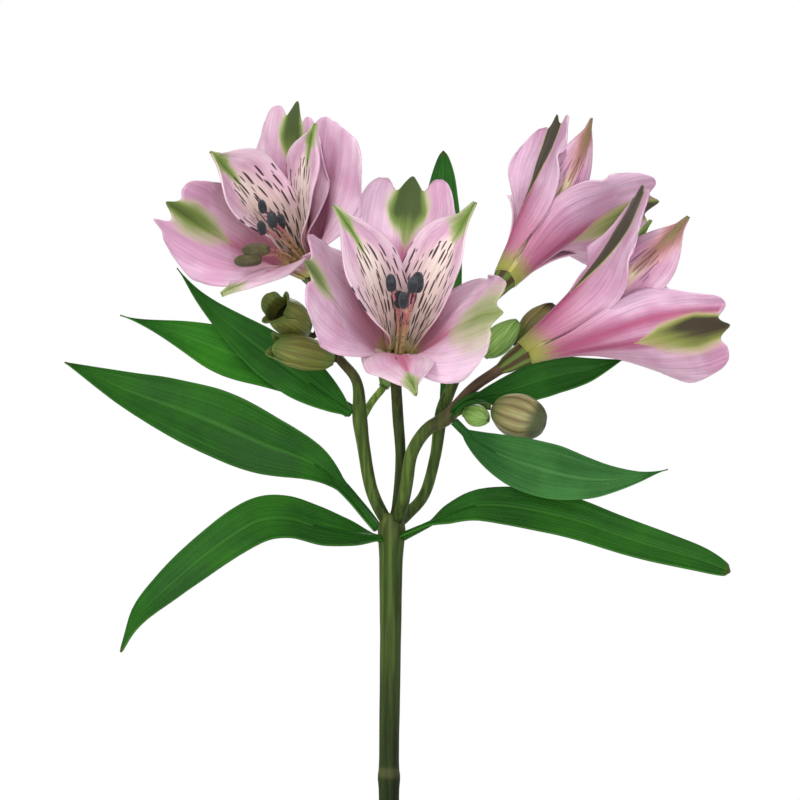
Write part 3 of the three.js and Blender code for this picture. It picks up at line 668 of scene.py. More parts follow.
class Route:
    """A smooth line through a table's points, walked by its length. The fourth number rides along."""

    def __init__(self, table: Sequence[Row]) -> None:
        """Walks the line once and keeps places on it."""
        points = [Vector(row[:3]) for row in table]
        values = [row[3] for row in table]
        points = [2 * points[0] - points[1], *points, 2 * points[-1] - points[-2]]
        self.places: list[Vector] = []
        self.values: list[float] = []
        steps = 16
        for i in range(len(table) - 1):
            quad = points[i:i + 4]
            for k in range(steps + (i == len(table) - 2)):
                self.places.append(self.bend(*quad, k / steps))
                self.values.append(mix(values[i], values[i + 1], smooth(0, 1, k / steps) * 0.5 + k / steps * 0.5))
        self.lengths = [0.0]
        for a, b in zip(self.places, self.places[1:]):
            self.lengths.append(self.lengths[-1] + (b - a).length)

    @staticmethod
    def bend(before: Vector, start: Vector, end: Vector, after: Vector, t: float) -> Vector:
        """Gives a place between two points on the centripetal curve through four."""
        gaps = [max(math.sqrt((b - a).length), 1e-4) for a, b in ((before, start), (start, end), (end, after))]
        slope = (start - before) / gaps[0] - (end - before) / (gaps[0] + gaps[1]) + (end - start) / gaps[1]
        leave = slope * gaps[1]
        slope = (end - start) / gaps[1] - (after - start) / (gaps[1] + gaps[2]) + (after - end) / gaps[2]
        arrive = slope * gaps[1]
        cubed = 2 * start - 2 * end + leave + arrive
        squared = -3 * start + 3 * end - 2 * leave - arrive
        return start + (leave + (squared + cubed * t) * t) * t

    def at(self, share: float) -> tuple[Vector, Vector, float]:
        """Gives the place, the heading and the fourth number at a share of the length."""
        target = clamp(share) * self.lengths[-1]
        low, high = 0, len(self.lengths) - 1
        while high - low > 1:
            middle = (low + high) // 2
            low, high = (middle, high) if self.lengths[middle] <= target else (low, middle)
        part = (target - self.lengths[low]) / max(self.lengths[high] - self.lengths[low], 1e-6)
        before, after = self.places[max(low - 1, 0)], self.places[min(high + 1, len(self.places) - 1)]
        place = self.places[low].lerp(self.places[high], part)
        return place, (after - before).normalized(), mix(self.values[low], self.values[high], part)


# Flowers

@dataclass(frozen=True)
class Band:
    """A painted band along a petal.

    Args:
        widths: Pairs of a share of the petal's length and the band's half width there, as a share of the petal's.
        strength: The field's value in the middle of the band.
        shift: How far the band lies to one side.
        lean: How much stronger it is on that side of its middle where u is greater.
        fade: Between which shares of the length it gains its strength.
        core: How soon it gains it from its border inwards.
    """
    widths: Sequence[tuple[float, float]] = ()
    strength: float = 1.0
    shift: float = 0.0
    lean: float = 0.0
    fade: tuple[float, float] = (-1.0, 0.0)
    core: float = 1.0

    def at(self, u: float, v: float) -> float:
        """Gives the field at a place of the petal."""
        for (low, start), (high, end) in zip(self.widths, self.widths[1:]):
            if low <= v <= high:
                side = (u - self.shift) / max(mix(start, end, (v - low) / (high - low)), 0.02)
                gain = self.strength * (1 + self.lean * clamp(side, -1, 1)) * mix(0.25, 1, smooth(*self.fade, v))
                return gain * min((1 - abs(side)) * self.core, 1) if abs(side) < 1 else max(1 - abs(side), -1)
        return -1.0


OUTER_TIP = Band(((0.72, 0.0), (0.84, 0.14), (0.96, 0.22), (1.1, 0.12)), 1.1, fade=(0.7, 0.95))
INNER_TIP = Band(((0.8, 0.0), (0.88, 0.3), (1.0, 1.6)), 0.8, fade=(0.78, 0.98))
ROSY_TIP = Band(((0.62, 0.0), (0.74, 0.3), (0.88, 0.6), (1.0, 1.6)), 1.1, fade=(0.6, 1.0))
INNER_STRIPE = Band(((0.7, 0.0), (0.8, 0.14), (0.9, 0.26), (1.0, 1.4)), 0.9, fade=(0.68, 0.92))
FLUSH = Band(((0.0, 0.9), (0.25, 0.7), (0.5, 0.4), (0.9, 0.1)), 0.72, fade=(0.85, 0.4))
CREAM = Band(((0.0, 1.6), (0.45, 1.2), (0.75, 0.6), (0.92, 0.1)), 0.9)
CREAM_RIB = Band(((0.0, 1.3), (0.3, 0.7), (0.6, 0.3), (0.9, 0.1)), 0.9)
DASHED = Band(((0.08, 1.0), (0.3, 1.7), (0.56, 1.6), (0.72, 0.8), (0.82, 0.2)), 1.2)
SPARSE = Band(((0.2, 0.5), (0.4, 0.7), (0.6, 0.3)), 0.55)
DIAMOND = Band(((0.55, 0.0), (0.7, 0.2), (0.86, 0.38), (0.98, 0.32), (1.1, 0.15)), 1.2, fade=(0.6, 0.9), core=1.8)
DARK_RIB = Band(((0.4, 0.0), (0.6, 0.14), (0.8, 0.26), (1.1, 0.3)), 8, fade=(0.4, 0.7))
NOTHING = Band()


@dataclass(frozen=True)
class Petal:
    """One petal, much as in the part's source, and the bands painted on it.

    Args:
        place: Its angle round the axis, clockwise from the top.
        sweep: How far it swings round on its way out.
        flare: Its opening at the foot and the tip.
        ease: How late it opens.
        roll: How far it twists.
        halves: Factors on its half width, for u below 0 and above it.
        length: Its length.
        cup: How strongly it bends across.
        green, magenta, cream, dashes: Its bands.
        opens: Between which shares of its length it leaves the tube.
        widest: Where it reaches its full width.
        blunt: How broad it stays towards its tip.
        notch: How deep the notches beside its point are.
        point: How far its point stands out.
        hook: How far one of its lobes is drawn out into a point, and at which u.
    """
    place: float
    sweep: float
    flare: tuple[float, float]
    ease: float
    roll: float
    halves: tuple[float, float]
    length: float
    cup: float
    green: Band = OUTER_TIP
    magenta: Band = FLUSH
    cream: Band = NOTHING
    dashes: Band = NOTHING
    opens: tuple[float, float] = (0.25, 0.75)
    widest: float = 0.63
    blunt: float = 2.0
    notch: float = 0.03
    point: float = 0.05
    hook: tuple[float, float] = (0.0, 0.0)

    def marks(self, u: float, v: float) -> Row:
        """Gives the four painted fields at a place."""
        return self.green.at(u, v), self.magenta.at(u, v), self.cream.at(u, v), self.dashes.at(u, v)


@dataclass(frozen=True)
class Kind:
    """What the three petals of one whorl share.

    Args:
        half: Greatest half width.
        start: How far from the axis a petal starts.
        columns, rows: Faces across and along a petal.
        foot: Its width at the foot, as a share of the greatest.
        shoulder: From which share of its length it narrows again.
        taper: How much of its width it loses up to its tip.
        lobed: Whether it ends broadly, with a point between two lobes.
    """
    half: float
    start: float
    columns: int
    rows: int
    foot: float
    shoulder: float
    taper: float
    lobed: bool

    def width(self, v: float, petal: Petal) -> float:
        """Gives the half width as a share of the greatest."""
        fall = self.taper * (max(v - self.shoulder, 0) / (1 - self.shoulder)) ** petal.blunt
        return mix(self.foot, 1, smooth(0, petal.widest, v)) * (1 - fall)

    def share(self, u: float, v: float, petal: Petal) -> float:
        """Gives the share of the length that a place lies at, so that the end gets its point and its lobes."""
        if not self.lobed:
            return v - petal.point * (smooth(0.5, 0.95, v) - (max(v - 0.95, 0) / 0.05) ** 3)
        side = abs(u)
        reach = petal.point * hump(side, 0, 0.09) - petal.notch * hump(side, 0.26, 0.11)
        reach += petal.hook[0] * hump(u, petal.hook[1], 0.09)
        reach += 0.008 * ripple(petal.place, 7 * u) * smooth(0.8, 1, v)
        return v + (reach - 0.02 - 0.2 * side ** 5) * smooth(0.5, 1, v)


OUTER = Kind(half=13.6, start=3.2, columns=44, rows=46, foot=0.27, shoulder=0.76, taper=0.16, lobed=True)
INNER = Kind(half=7.8, start=2.6, columns=26, rows=42, foot=0.32, shoulder=0.64, taper=0.97, lobed=False)
PETAL_CREASE, PETAL_THICKNESS, EDGE_WAVE, FACE_WAVE, UNEVEN_WIDTH = 0.5, 0.45, 1.5, 0.45, 0.035
SEAT, SUNK = 0.4, 1.1
STAMEN_RING, DISC_RADIUS, DISC_HEIGHT = 0.94, 1.4, 1.6
FILAMENT_RADII, STYLE_RADIUS, STIGMA_RADIUS = (0.55, 0.45, 0.38, 0.33, 0.28, 0.22), 0.32, 0.24
STYLE = ((0, 0, SEAT), (0, -0.1, 8), (0, -0.6, 16), (0, -1.6, 25))
STIGMA = ((-0.5, 0), (0.8, 0.5), (1.4, 1.4))
ANTHER_WIDTH, CLOSED_WIDTH, ANTHER_GROOVE = 0.31, 0.24, 0.3


@dataclass(frozen=True)
class Station:
    """A place on a petal's middle line: the point, the directions across and into the flower, the radius."""
    point: Vector
    across: Vector
    inward: Vector
    radius: float


class MiddleLine:
    """A petal's middle line, walked once from its foot."""

    steps: int = 48
    reach: float = 1.12

    def __init__(self, axes: "Axes", kind: Kind, petal: Petal) -> None:
        """Walks the line."""
        self.axes = axes
        self.points: list[Vector] = []
        self.arounds: list[Vector] = []
        heading = point = None
        for i in range(self.steps + 1):
            t = self.reach * i / self.steps
            turn = math.radians(petal.place + petal.sweep * smooth(0.05, 1, t))
            opening = math.radians(mix(*petal.flare, t ** petal.ease))
            outward = between(axes.up, axes.side, turn)
            following = between(axes.axis, outward, opening)
            if point is None:
                point = axes.base + axes.axis * (SEAT - SUNK) + outward * kind.start
            else:
                point = point + (heading + following).normalized() * (petal.length * self.reach / self.steps)
            heading = following
            self.points.append(point)
            self.arounds.append(between(axes.side, axes.up, -turn))

    def at(self, share: float) -> Station:
        """Gives the station at a share of the petal's length."""
        k = clamp(share / self.reach) * self.steps
        i = min(int(k), self.steps - 1)
        point = self.points[i].lerp(self.points[i + 1], k - i)
        heading = (self.points[min(i + 2, self.steps)] - self.points[max(i - 1, 0)]).normalized()
        around = self.arounds[i].lerp(self.arounds[i + 1], k - i)
        across = (around - heading * around.dot(heading)).normalized()
        away = point - self.axes.base
        return Station(point, across, across.cross(heading), (away - self.axes.axis * away.dot(self.axes.axis)).length)


@dataclass(frozen=True)
class Axes:
    """A flower's frame: the seat of its petals, its axis, the direction of its top petal and its side."""
    base: Vector
    axis: Vector
    up: Vector
    side: Vector

    @classmethod
    def of(cls, base: Sequence[float], turn: float, rise: float, roll: float) -> "Axes":
        """Works the frame out from the flower's turn to the right, its rise and its roll, in degrees."""
        level = math.cos(math.radians(rise))
        axis = Vector((math.sin(math.radians(turn)) * level, -math.cos(math.radians(turn)) * level,
                       math.sin(math.radians(rise))))
        up = (UP - axis * axis.z).normalized()
        up = Quaternion(axis, -math.radians(roll)) @ up
        return cls(Vector(base), axis, up, up.cross(axis))

    def at(self, side: float, up: float, along: float) -> Vector:
        """Gives a place from its distances sideways, upwards and along the axis."""
        return self.base + self.side * side + self.up * up + self.axis * along

    def around(self, u: float, radius: float, along: float) -> Vector:
        """Gives a place round the axis, with u from -1 to 1 for the whole turn."""
        return self.at(radius * math.sin(math.pi * u), radius * math.cos(math.pi * u), along)


HIDDEN_STAMENS = ((-3, 2, 30, 5), (2, 1, 29, 5), (-1, -2, 28, 4.6), (1.5, -4, 27, 5), (0, 2.5, 23, 5), (-2, -1, 22, 5))


@dataclass(frozen=True)
class Flower:
    """One open flower: three broad petals, three narrow ones, six stamens and the style.

    Args:
        name: Its name in the nodes.
        base: The seat of its petals.
        turn: How far it looks to the right of the viewer, in degrees.
        rise: How far it looks upwards.
        outer, inner: Its petals.
        stamens: Each anther's place sideways, upwards and along the axis, and its length.
        roll: How it is rolled about its axis.
        closed: Which anthers haven't opened yet.
    """
    name: str
    base: Place
    turn: float
    rise: float
    outer: tuple[Petal, ...]
    inner: tuple[Petal, ...]
    stamens: Table = HIDDEN_STAMENS
    roll: float = 0
    closed: tuple[int, ...] = ()

    @property
    def axes(self) -> Axes:
        """The flower's frame."""
        return Axes.of(self.base, self.turn, self.rise, self.roll)

    def build(self) -> None:
        """Makes the flower's three pieces."""
        self.whorl("outer_petals", OUTER, self.outer, "petal", (Finish.OUTER_FACE, Finish.OUTER_BACK))
        self.whorl("inner_petals", INNER, self.inner, "inner_petal", (Finish.INNER_FACE, Finish.INNER_BACK))
        self.heart()

    def surface(self, kind: Kind, petal: Petal) -> Surface:
        """Gives the surface of one petal: a tube low down, then open, creased and slightly wavy."""
        axes = self.axes
        line = MiddleLine(axes, kind, petal)
        seed = petal.place + petal.length + self.turn

        def at(u: float, v: float) -> Vector:
            """Gives a place on the petal."""
            spot = line.at(kind.share(u, v, petal))
            turn = math.radians(petal.roll) * smooth(0.15, 1, v)
            wide = between(spot.across, spot.inward, turn)
            deep = between(spot.inward, spot.across, -turn)
            half = kind.half * kind.width(v, petal) * petal.halves[u >= 0]
            half = min(half, spot.radius * mix(1, 10, smooth(0.1, 0.35, v)))
            half *= 1 + UNEVEN_WIDTH * ripple(seed, 7 * v, u) * smooth(0.3, 0.7, v)
            bend = clamp(mix(half / max(spot.radius, 0.5), petal.cup, smooth(*petal.opens, v)), -1.6, 1.6)
            bend = bend if abs(bend) > FLAT else FLAT
            x = half * math.sin(bend * u) / bend
            y = half * (1 - math.cos(bend * u)) / bend
            y -= PETAL_CREASE * hump(u, 0, 0.18) * smooth(0, 0.3, v)
            free = smooth(0.35, 0.8, v)
            y += free * EDGE_WAVE * u * u * ripple(seed, 4.5 * v, u)
            y += free * FACE_WAVE * ripple(seed, 5 * v, 3.5 * u, 2)
            return spot.point + wide * x + deep * y
        return at

    def whorl(self, part: str, kind: Kind, petals: Sequence[Petal], slot: str,
              finishes: Sequence[Finish]) -> None:
        """Makes the piece of three petals, with its second finish on their backs."""
        draft = Draft()
        for petal in petals:
            draft.sheet(kind.columns, kind.rows, self.surface(kind, petal), petal.marks)
        wall = draft.piece(f"flower_{self.name}_{part}", slot, finishes).modifiers.new("Thickness", "SOLIDIFY")
        wall.thickness, wall.offset, wall.material_offset = PETAL_THICKNESS * MM, 0, 1

    def heart(self) -> None:
        """Makes the piece of six stamens and the style."""
        axes = self.axes
        draft = Draft()
        for i, (side, up, along, size) in enumerate(self.stamens):
            start, end = axes.around(i / 3, STAMEN_RING, SEAT), axes.at(side, up, along)
            knee = axes.around(i / 3, STAMEN_RING, along / 2) + (axes.side * side + axes.up * up) * 0.1
            steps = len(FILAMENT_RADII) - 1
            draft.tube([(*start.lerp(knee, k / steps).lerp(knee.lerp(end, k / steps), k / steps), radius)
                        for k, radius in enumerate(FILAMENT_RADII)], 10, 20)
            heading = (end - knee).normalized()
            shut = i in self.closed
            lie = (heading * 0.35 - axes.side).normalized() if shut else UP.lerp(heading, 0.4).normalized()
            self.anther(draft, end, lie, size, shut)
        style = [axes.at(*spot) for spot in STYLE]
        draft.tube([(*point, STYLE_RADIUS) for point in style], 8, 16)
        for k in range(3):
            out = between(axes.up, axes.side, math.tau * k / 3)
            branch = [style[-1] + axes.axis * along + out * away for along, away in STIGMA]
            draft.tube([(*point, STIGMA_RADIUS) for point in branch], 6, 6)
        disc = [(0, 0), (DISC_RADIUS, 0), (DISC_RADIUS, DISC_HEIGHT / 2),
                *((radius, DISC_HEIGHT) for radius in (DISC_RADIUS, 0.7, 0.3, 0))]
        draft.sheet(16, 6, lambda u, v: axes.around(u, *disc[round(v * 6)]), welded=True)
        draft.piece(f"flower_{self.name}_stamens", "anther", (Finish.FILAMENT, Finish.ANTHER, Finish.CLOSED_ANTHER))

    @staticmethod
    def anther(draft: Draft, middle: Vector, lie: Vector, size: float, shut: bool) -> None:
        """Adds one anther: two lobes with a groove between them.

        Args:
            draft: The mesh it is added to.
            middle: Its middle.
            lie: The direction that it lies in.
            size: Its length.
            shut: Whether it hasn't opened yet, so that it is slim and olive.
        """
        first = lie.cross(Vector((0, 1, 0))).normalized()
        second = lie.cross(first)
        wide = size * (CLOSED_WIDTH if shut else ANTHER_WIDTH)

        def at(u: float, v: float) -> Vector:
            """Gives a place on the anther's skin."""
            angle = math.pi * u
            bulge = math.sin(math.pi * v) if 0 < v < 1 else 0
            radius = wide * bulge ** 0.62
            radius *= 1 - ANTHER_GROOVE * hump(abs(u), 0.5, 0.12)
            radius *= 1 + 0.06 * ripple(size, math.sin(angle), math.cos(angle), 5 * v)
            along = size * (-0.5 * math.cos(math.pi * v) + 0.3 * math.sin(angle) ** 2 * bulge * (1 - bulge))
            return middle + between(first, second, angle) * radius + lie * along
        draft.sheet(24, 14, at, material=2 if shut else 1, welded=True)


FLOWERS = (
    Flower(
        "middle", (2.5, -14, 275), 5, 30,
        outer=(
            Petal(-1, 10, (6, 98), 1.1, 9, (1.18, 1.2), 49, 0.85,
                  green=Band(((0.58, 0.0), (0.72, 0.2), (0.86, 0.38), (0.98, 0.32), (1.1, 0.14)), 1.5,
                             fade=(0.62, 0.88), core=1.8), notch=0.07),
            Petal(127, 2, (19, 36), 2, -27, (1.16, 1.1), 53, -0.5,
                  green=Band(((0.5, 0.0), (0.66, 0.4), (0.85, 0.6), (1.1, 0.7)), 0.5, fade=(0.5, 0.8))),
            Petal(262, 6, (26, 23), 1.3, 8, (1, 1.25), 54, -0.4,
                  green=Band(((0.62, 0.0), (0.78, 0.2), (0.95, 0.28), (1.1, 0.2)), fade=(0.66, 0.9)),
                  magenta=NOTHING),
        ),
        inner=(
            Petal(43, 1, (10, 45), 1.4, 18, (1.16, 1.1), 52, 0.7, INNER_TIP, NOTHING, CREAM, DASHED, widest=0.46,
                  blunt=3.2, point=0.08),
            Petal(308, 7, (7, 64), 1.9, 0, (1.2, 1), 53, 0.4, INNER_STRIPE, NOTHING, CREAM, DASHED, widest=0.44),
            Petal(191, -20, (11, 69), 1.1, -8, (1, 1.25), 50, -0.25, INNER_TIP,
                  Band(((0.2, 0.9), (0.5, 0.7), (0.9, 0.1)), 0.8), NOTHING, SPARSE,
                  opens=(0.02, 0.3), widest=0.36, blunt=1.6),
        ),
        stamens=((-4, 3.5, 30, 4.4), (2.5, 3, 31, 5.2), (-1, -1, 29, 4.2), (1, 1, 33, 4.2),
                 (-1.5, 3, 23, 4.4), (1.6, 3.4, 24, 4.2)),
    ),
    Flower(
        "left", (-21.5, 6, 298.5), -24, 33,
        outer=(
            Petal(18, 4, (9, 44), 1.2, 5, (1.06, 0.91), 46.8, -0.1, DIAMOND, widest=0.48, notch=0.05),
            Petal(73, -37, (24, 36), 1.5, -2, (0.84, 1.15), 50, 0, NOTHING, widest=0.46, notch=0, point=0),
            Petal(232, 14, (23, 19), 1.5, 45, (1, 1), 48, -0.3, widest=0.5, hook=(0.09, -0.47),
                  green=Band(((0.5, 0.0), (0.68, 0.28), (0.88, 0.36), (1.0, 0.26), (1.1, 0.12)), 1.05, lean=0.6,
                             fade=(0.5, 0.9))),
        ),
        inner=(
            Petal(59, -3, (7, 36), 1, -17, (0.85, 1), 51, 0.4, INNER_STRIPE, NOTHING, CREAM, DASHED, widest=0.5,
                  blunt=2.6),
            Petal(296, -22, (3, 14), 1.7, 3, (1.2, 1.35), 49, 0.5, INNER_STRIPE, NOTHING, CREAM, DASHED, widest=0.5,
                  blunt=3),
            Petal(160, 39, (12, 59), 0.65, -17, (1.05, 0.82), 50, -0.3, INNER_TIP, FLUSH, NOTHING, SPARSE),
        ),
        stamens=((0, -2, 30, 3.6), (3.3, -5.5, 29, 4.4), (1, -8, 29, 3.8), (-0.5, -12.5, 26, 7),
                 (-2.5, -15, 25, 7), (0.5, 0.5, 20, 4)),
        closed=(3, 4),
    ),
    Flower(
        "back", (31, 14, 296.5), 130, 43,
        outer=(
            Petal(13, 42, (14, 18), 1.5, -45, (0.86, 0.75), 51, -0.5, DARK_RIB),
            Petal(116, 10, (15, 60), 1.4, 0, (1, 1), 52, 0.3),
            Petal(241, -36, (9, 35), 1.7, 32, (1.25, 1.1), 49, -0.2,
                  green=Band(((0.4, 0.0), (0.6, 0.26), (0.85, 0.34), (1.1, 0.2)), 1.2, shift=-0.16,
                             fade=(0.5, 0.95), core=2)),
        ),
        inner=(
            Petal(61, 4, (4, 10), 1.4, 4, (1, 1), 51, 0.4, ROSY_TIP, FLUSH, CREAM_RIB, DASHED),
            Petal(314, 17, (4, 54), 1.4, -40, (0.75, 0.83), 49, 0.9, ROSY_TIP, FLUSH, CREAM_RIB, DASHED),
            Petal(172, -4, (5, 32), 1.2, 0, (1, 1), 47, 0.5, INNER_TIP, FLUSH, CREAM, SPARSE),
        ),
    ),
    Flower(
        "right", (35.5, -6, 276.5), 100, 33, roll=-12,
        outer=(
            Petal(-17, 45, (9, 31), 1.3, -15, (1.12, 0.92), 52, 0,
                  Band(((0.35, 0.0), (0.6, 0.22), (0.8, 0.42), (1.1, 0.5)), 6, fade=(0.35, 0.7))),
            Petal(122, 20, (9, 42), 1.5, 0, (1, 1), 52, 0.3),
            Petal(225, 45, (19, 60), 1.1, 35, (1.1, 1), 55, 0.9,
                  green=Band(((0.5, 0.0), (0.64, 0.26), (0.85, 0.38), (1.0, 0.3), (1.1, 0.12)), 1.25, lean=0.75,
                             fade=(0.5, 0.9), core=2.2),
                  magenta=Band(((0.0, 0.9), (0.3, 0.5), (0.5, 0.26), (0.75, 0.2), (0.98, 0.1)), 0.9, shift=0.4)),
        ),
        inner=(
            Petal(58, -1, (3, 23), 1.1, 8, (0.96, 1), 51, 0.7, ROSY_TIP, FLUSH, CREAM_RIB, DASHED),
            Petal(294, 21, (7, 37), 1.6, -4, (1.15, 1.15), 55, 0.7, ROSY_TIP, FLUSH, CREAM_RIB, DASHED),
            Petal(178, -3, (5, 41), 1.5, 0, (1, 1), 50, 0.5, INNER_TIP, FLUSH, CREAM, SPARSE),
        ),
    ),
)


# Leaves

BLADE_THICKNESS, BLADE_CREASE, BLADE_EDGE, BLADE_WAVE, BLADE_FACE, RIB_END = 0.5, 0.3, 0.03, 0.5, 0.18, 0.15


@dataclass(frozen=True)
class Leaf:
    """A leaf or bract, much as in the part's source.

    Args:
        node: The solid that it stands for.
        route: Points of its middle line, each with the blade's turn from lying flat, in degrees.
        half: Greatest half width.
        foot: Half width at the foot.
        stalk: The share of the length that is stalk.
        peak: Where the blade is widest.
        cup: How strongly it bends across.
        finish: Its finish.
        sharp: How sharp its tip is, under 1 for a blunt one.
        rib_length: The share of its length along which its stalk and rib are round and thick.
    """
    node: str
    route: Table
    half: float
    foot: float
    stalk: float
    peak: float
    cup: float
    finish: Finish = Finish.DARK_LEAF
    sharp: float = 1.0
    rib_length: float = 0.25

    def width(self, v: float) -> float:
        """Gives the half width at a share of the length."""
        share = clamp((v - self.stalk) / (1 - self.stalk))
        rise = math.sin(math.pi / 2 * min(share / self.peak, 1)) ** 0.9
        fall = max(math.cos(math.pi / 2 * max(share - self.peak, 0) / (1 - self.peak)), 0) ** self.sharp
        return max(mix(self.foot, self.half, rise) * fall, 0.12)

    def build(self) -> None:
        """Makes the leaf's piece."""
        route = Route(self.route)
        seed = len(self.node) + self.half

        def at(u: float, v: float) -> Vector:
            """Gives a place on the blade."""
            middle, heading, turn = route.at(v)
            level = heading.cross(UP).normalized()
            raised = level.cross(heading)
            wide = between(level, raised, math.radians(turn))
            deep = between(raised, level, -math.radians(turn))
            w = self.width(v)
            x = w * math.sin(self.cup * u) / self.cup * (1 + BLADE_EDGE * ripple(seed, 9 * v, u))
            y = w * (1 - math.cos(self.cup * u)) / self.cup - BLADE_CREASE * hump(u, 0, 0.14) * min(w / 4, 1)
            y += w / self.half * BLADE_WAVE * u * abs(u) * ripple(seed, 6 * v, 0, u)
            y += w / self.half * BLADE_FACE * ripple(seed, 8 * v, 3 * u, 2)
            return middle + wide * x + deep * y
        draft = Draft()
        draft.sheet(22, 84, at, thickness=BLADE_THICKNESS)
        rib = [(*route.at(self.rib_length * share)[0], mix(0.7 * self.foot, RIB_END, share))
               for share in (i / 6 for i in range(7))]
        draft.tube(rib, 12, 30)
        draft.piece(self.node, "leaf" if self.node.startswith("leaf") else "dark_leaf", (self.finish,))


LEAVES = (
    Leaf("leaf_left", ((-3.1, 1.2, 230.5, 20), (-8, 4, 236.5, 35), (-13, 5, 242, 60), (-20, 5, 247.5, 80),
                       (-33, 8, 252.5, 80), (-48.5, 12, 259, 76), (-70, 14, 267, 70), (-85.5, 12, 274, 65)),
         8.8, 1.7, 0.16, 0.42, 0.3, Finish.LEAF),
    Leaf("leaf_hanging", ((-2.1, -1.8, 228, 30), (-9.5, -8, 229.5, 60), (-18, -14, 231.5, 65),
                          (-26, -20, 234, 65), (-33, -24, 233.5, 70), (-43.5, -28, 227, 75),
                          (-55, -30, 217.5, 70), (-62.5, -30, 210, 60), (-67.5, -28, 200.5, 50)),
         6, 1.4, 0.02, 0.3, 0.35, Finish.LEAF, sharp=0.6),
    Leaf("leaf_right", ((3.7, -1.7, 228.6, -10), (9.5, -6, 231.5, -20), (15.5, -9, 234.5, -60),
                        (24, -12, 237, -70), (43.5, -18, 234.5, -62), (63.5, -22, 228, -60),
                        (79, -24, 223.5, -60), (86.5, -24, 220.5, -60)),
         5.6, 1.7, 0.1, 0.4, 0.3, Finish.LEAF, sharp=0.35),
    # This bract gets the lighter copy of the leaf finish, as painted light where it lies in shade.
    Leaf("bract_left_low", ((-8.6, 4.4, 261, 40), (-12.5, 10.5, 263.3, 60), (-20.5, 17, 267.8, 75),
                            (-31, 20, 272.8, 80), (-42, 20.5, 276.3, 80), (-56, 19, 281.6, 75),
                            (-71.3, 17, 286.5, 70)), 6.6, 1.1, 0.12, 0.5, 0.3, Finish.PAINTED_LIGHT_LEAF, sharp=1.7),
    Leaf("bract_left_high", ((-10.4, 1.6, 260.3, 40), (-14.2, 5.5, 263.4, 60), (-23.5, 11.5, 270.3, 75),
                             (-33, 15, 277, 80), (-43, 15.5, 284.6, 80), (-50, 14.5, 291.2, 80),
                             (-56, 14, 298.9, 80)), 6.4, 1.2, 0.02, 0.35, 0.3, sharp=1.5),
    Leaf("bract_right_dark", ((17.3, -4.8, 262.3, -40), (22.5, -2, 264, -70), (31.5, 2, 266.5, -80),
                              (42, 4, 270, -80), (52.5, 5, 272, -75), (61, 5, 274.5, -70)),
         5, 1, 0.12, 0.5, 0.3),
    Leaf("bract_right_blue", ((16.9, -9.5, 258.4, -60), (21, -13, 254.5, -70), (28.5, -17, 250, -80),
                              (38.5, -20, 246.5, -85), (51, -23, 244, -85), (62.5, -25, 244.5, -85),
                              (70.5, -26, 246.5, -80)), 7, 1.1, 0.08, 0.42, 0.25, Finish.BLUE_LEAF, sharp=1.6),
    Leaf("bract_back", ((14.3, 5.7, 263.5, 20), (14.6, 10, 270, 10), (14.5, 18, 285, 5), (14, 26, 302, 5),
                        (14, 32, 315, 5), (14.5, 35.5, 324, 8), (14.6, 37, 331.5, 12)),
         5.6, 1.1, 0.1, 0.6, 0.3, sharp=0.6),
    Leaf("leaf_low_right", ((3.4, 0.8, 133, 10), (14, 4, 142, 5), (32, 9, 149, -5), (50, 13, 147, -15),
                            (63, 15, 140, -20)), 6.5, 1.2, 0.14, 0.45, 0.3, Finish.LEAF),
    Leaf("leaf_low_left", ((-3.3, 1.3, 121, -10), (-13, 7, 130, -5), (-29, 16, 137, 5), (-44, 24, 134, 15),
                           (-54, 29, 127, 20)), 6, 1.2, 0.14, 0.45, 0.3, Finish.LEAF),
)


# The stem

# Painted shade on the stalks' right side, away from the key light, and where they fork.
SIDE_PAINTED_SHADE, FORK_PAINTED_SHADE = 0.25, 0.5


@dataclass(frozen=True)
class Branch:
    """A stalk of the flower head.

    Args:
        route: Its points and radii.
        brown: How brown it is at its foot and its end.
        flower: The flower that it carries, if it does.
        dark: How much darker it is than the others, below 0 for lighter; the hidden twig is lighter as painted light
            against the shade it lies in.
    """
    route: Table
    brown: tuple[float, float] = (0.0, 0.0)
    flower: str = ""
    dark: float = 0.0

    def marks(self, u: float, v: float) -> Row:
        """Gives the painted fields, with painted shade on the right and where the stalk leaves the stem."""
        dark = self.dark * smooth(0, 0.2, v) + SIDE_PAINTED_SHADE * math.cos(math.pi * u) + FORK_PAINTED_SHADE * smooth(0.2, 0.04, v)
        return mix(*self.brown, smooth(0.4, 0.8, v)), 0, 0, dark


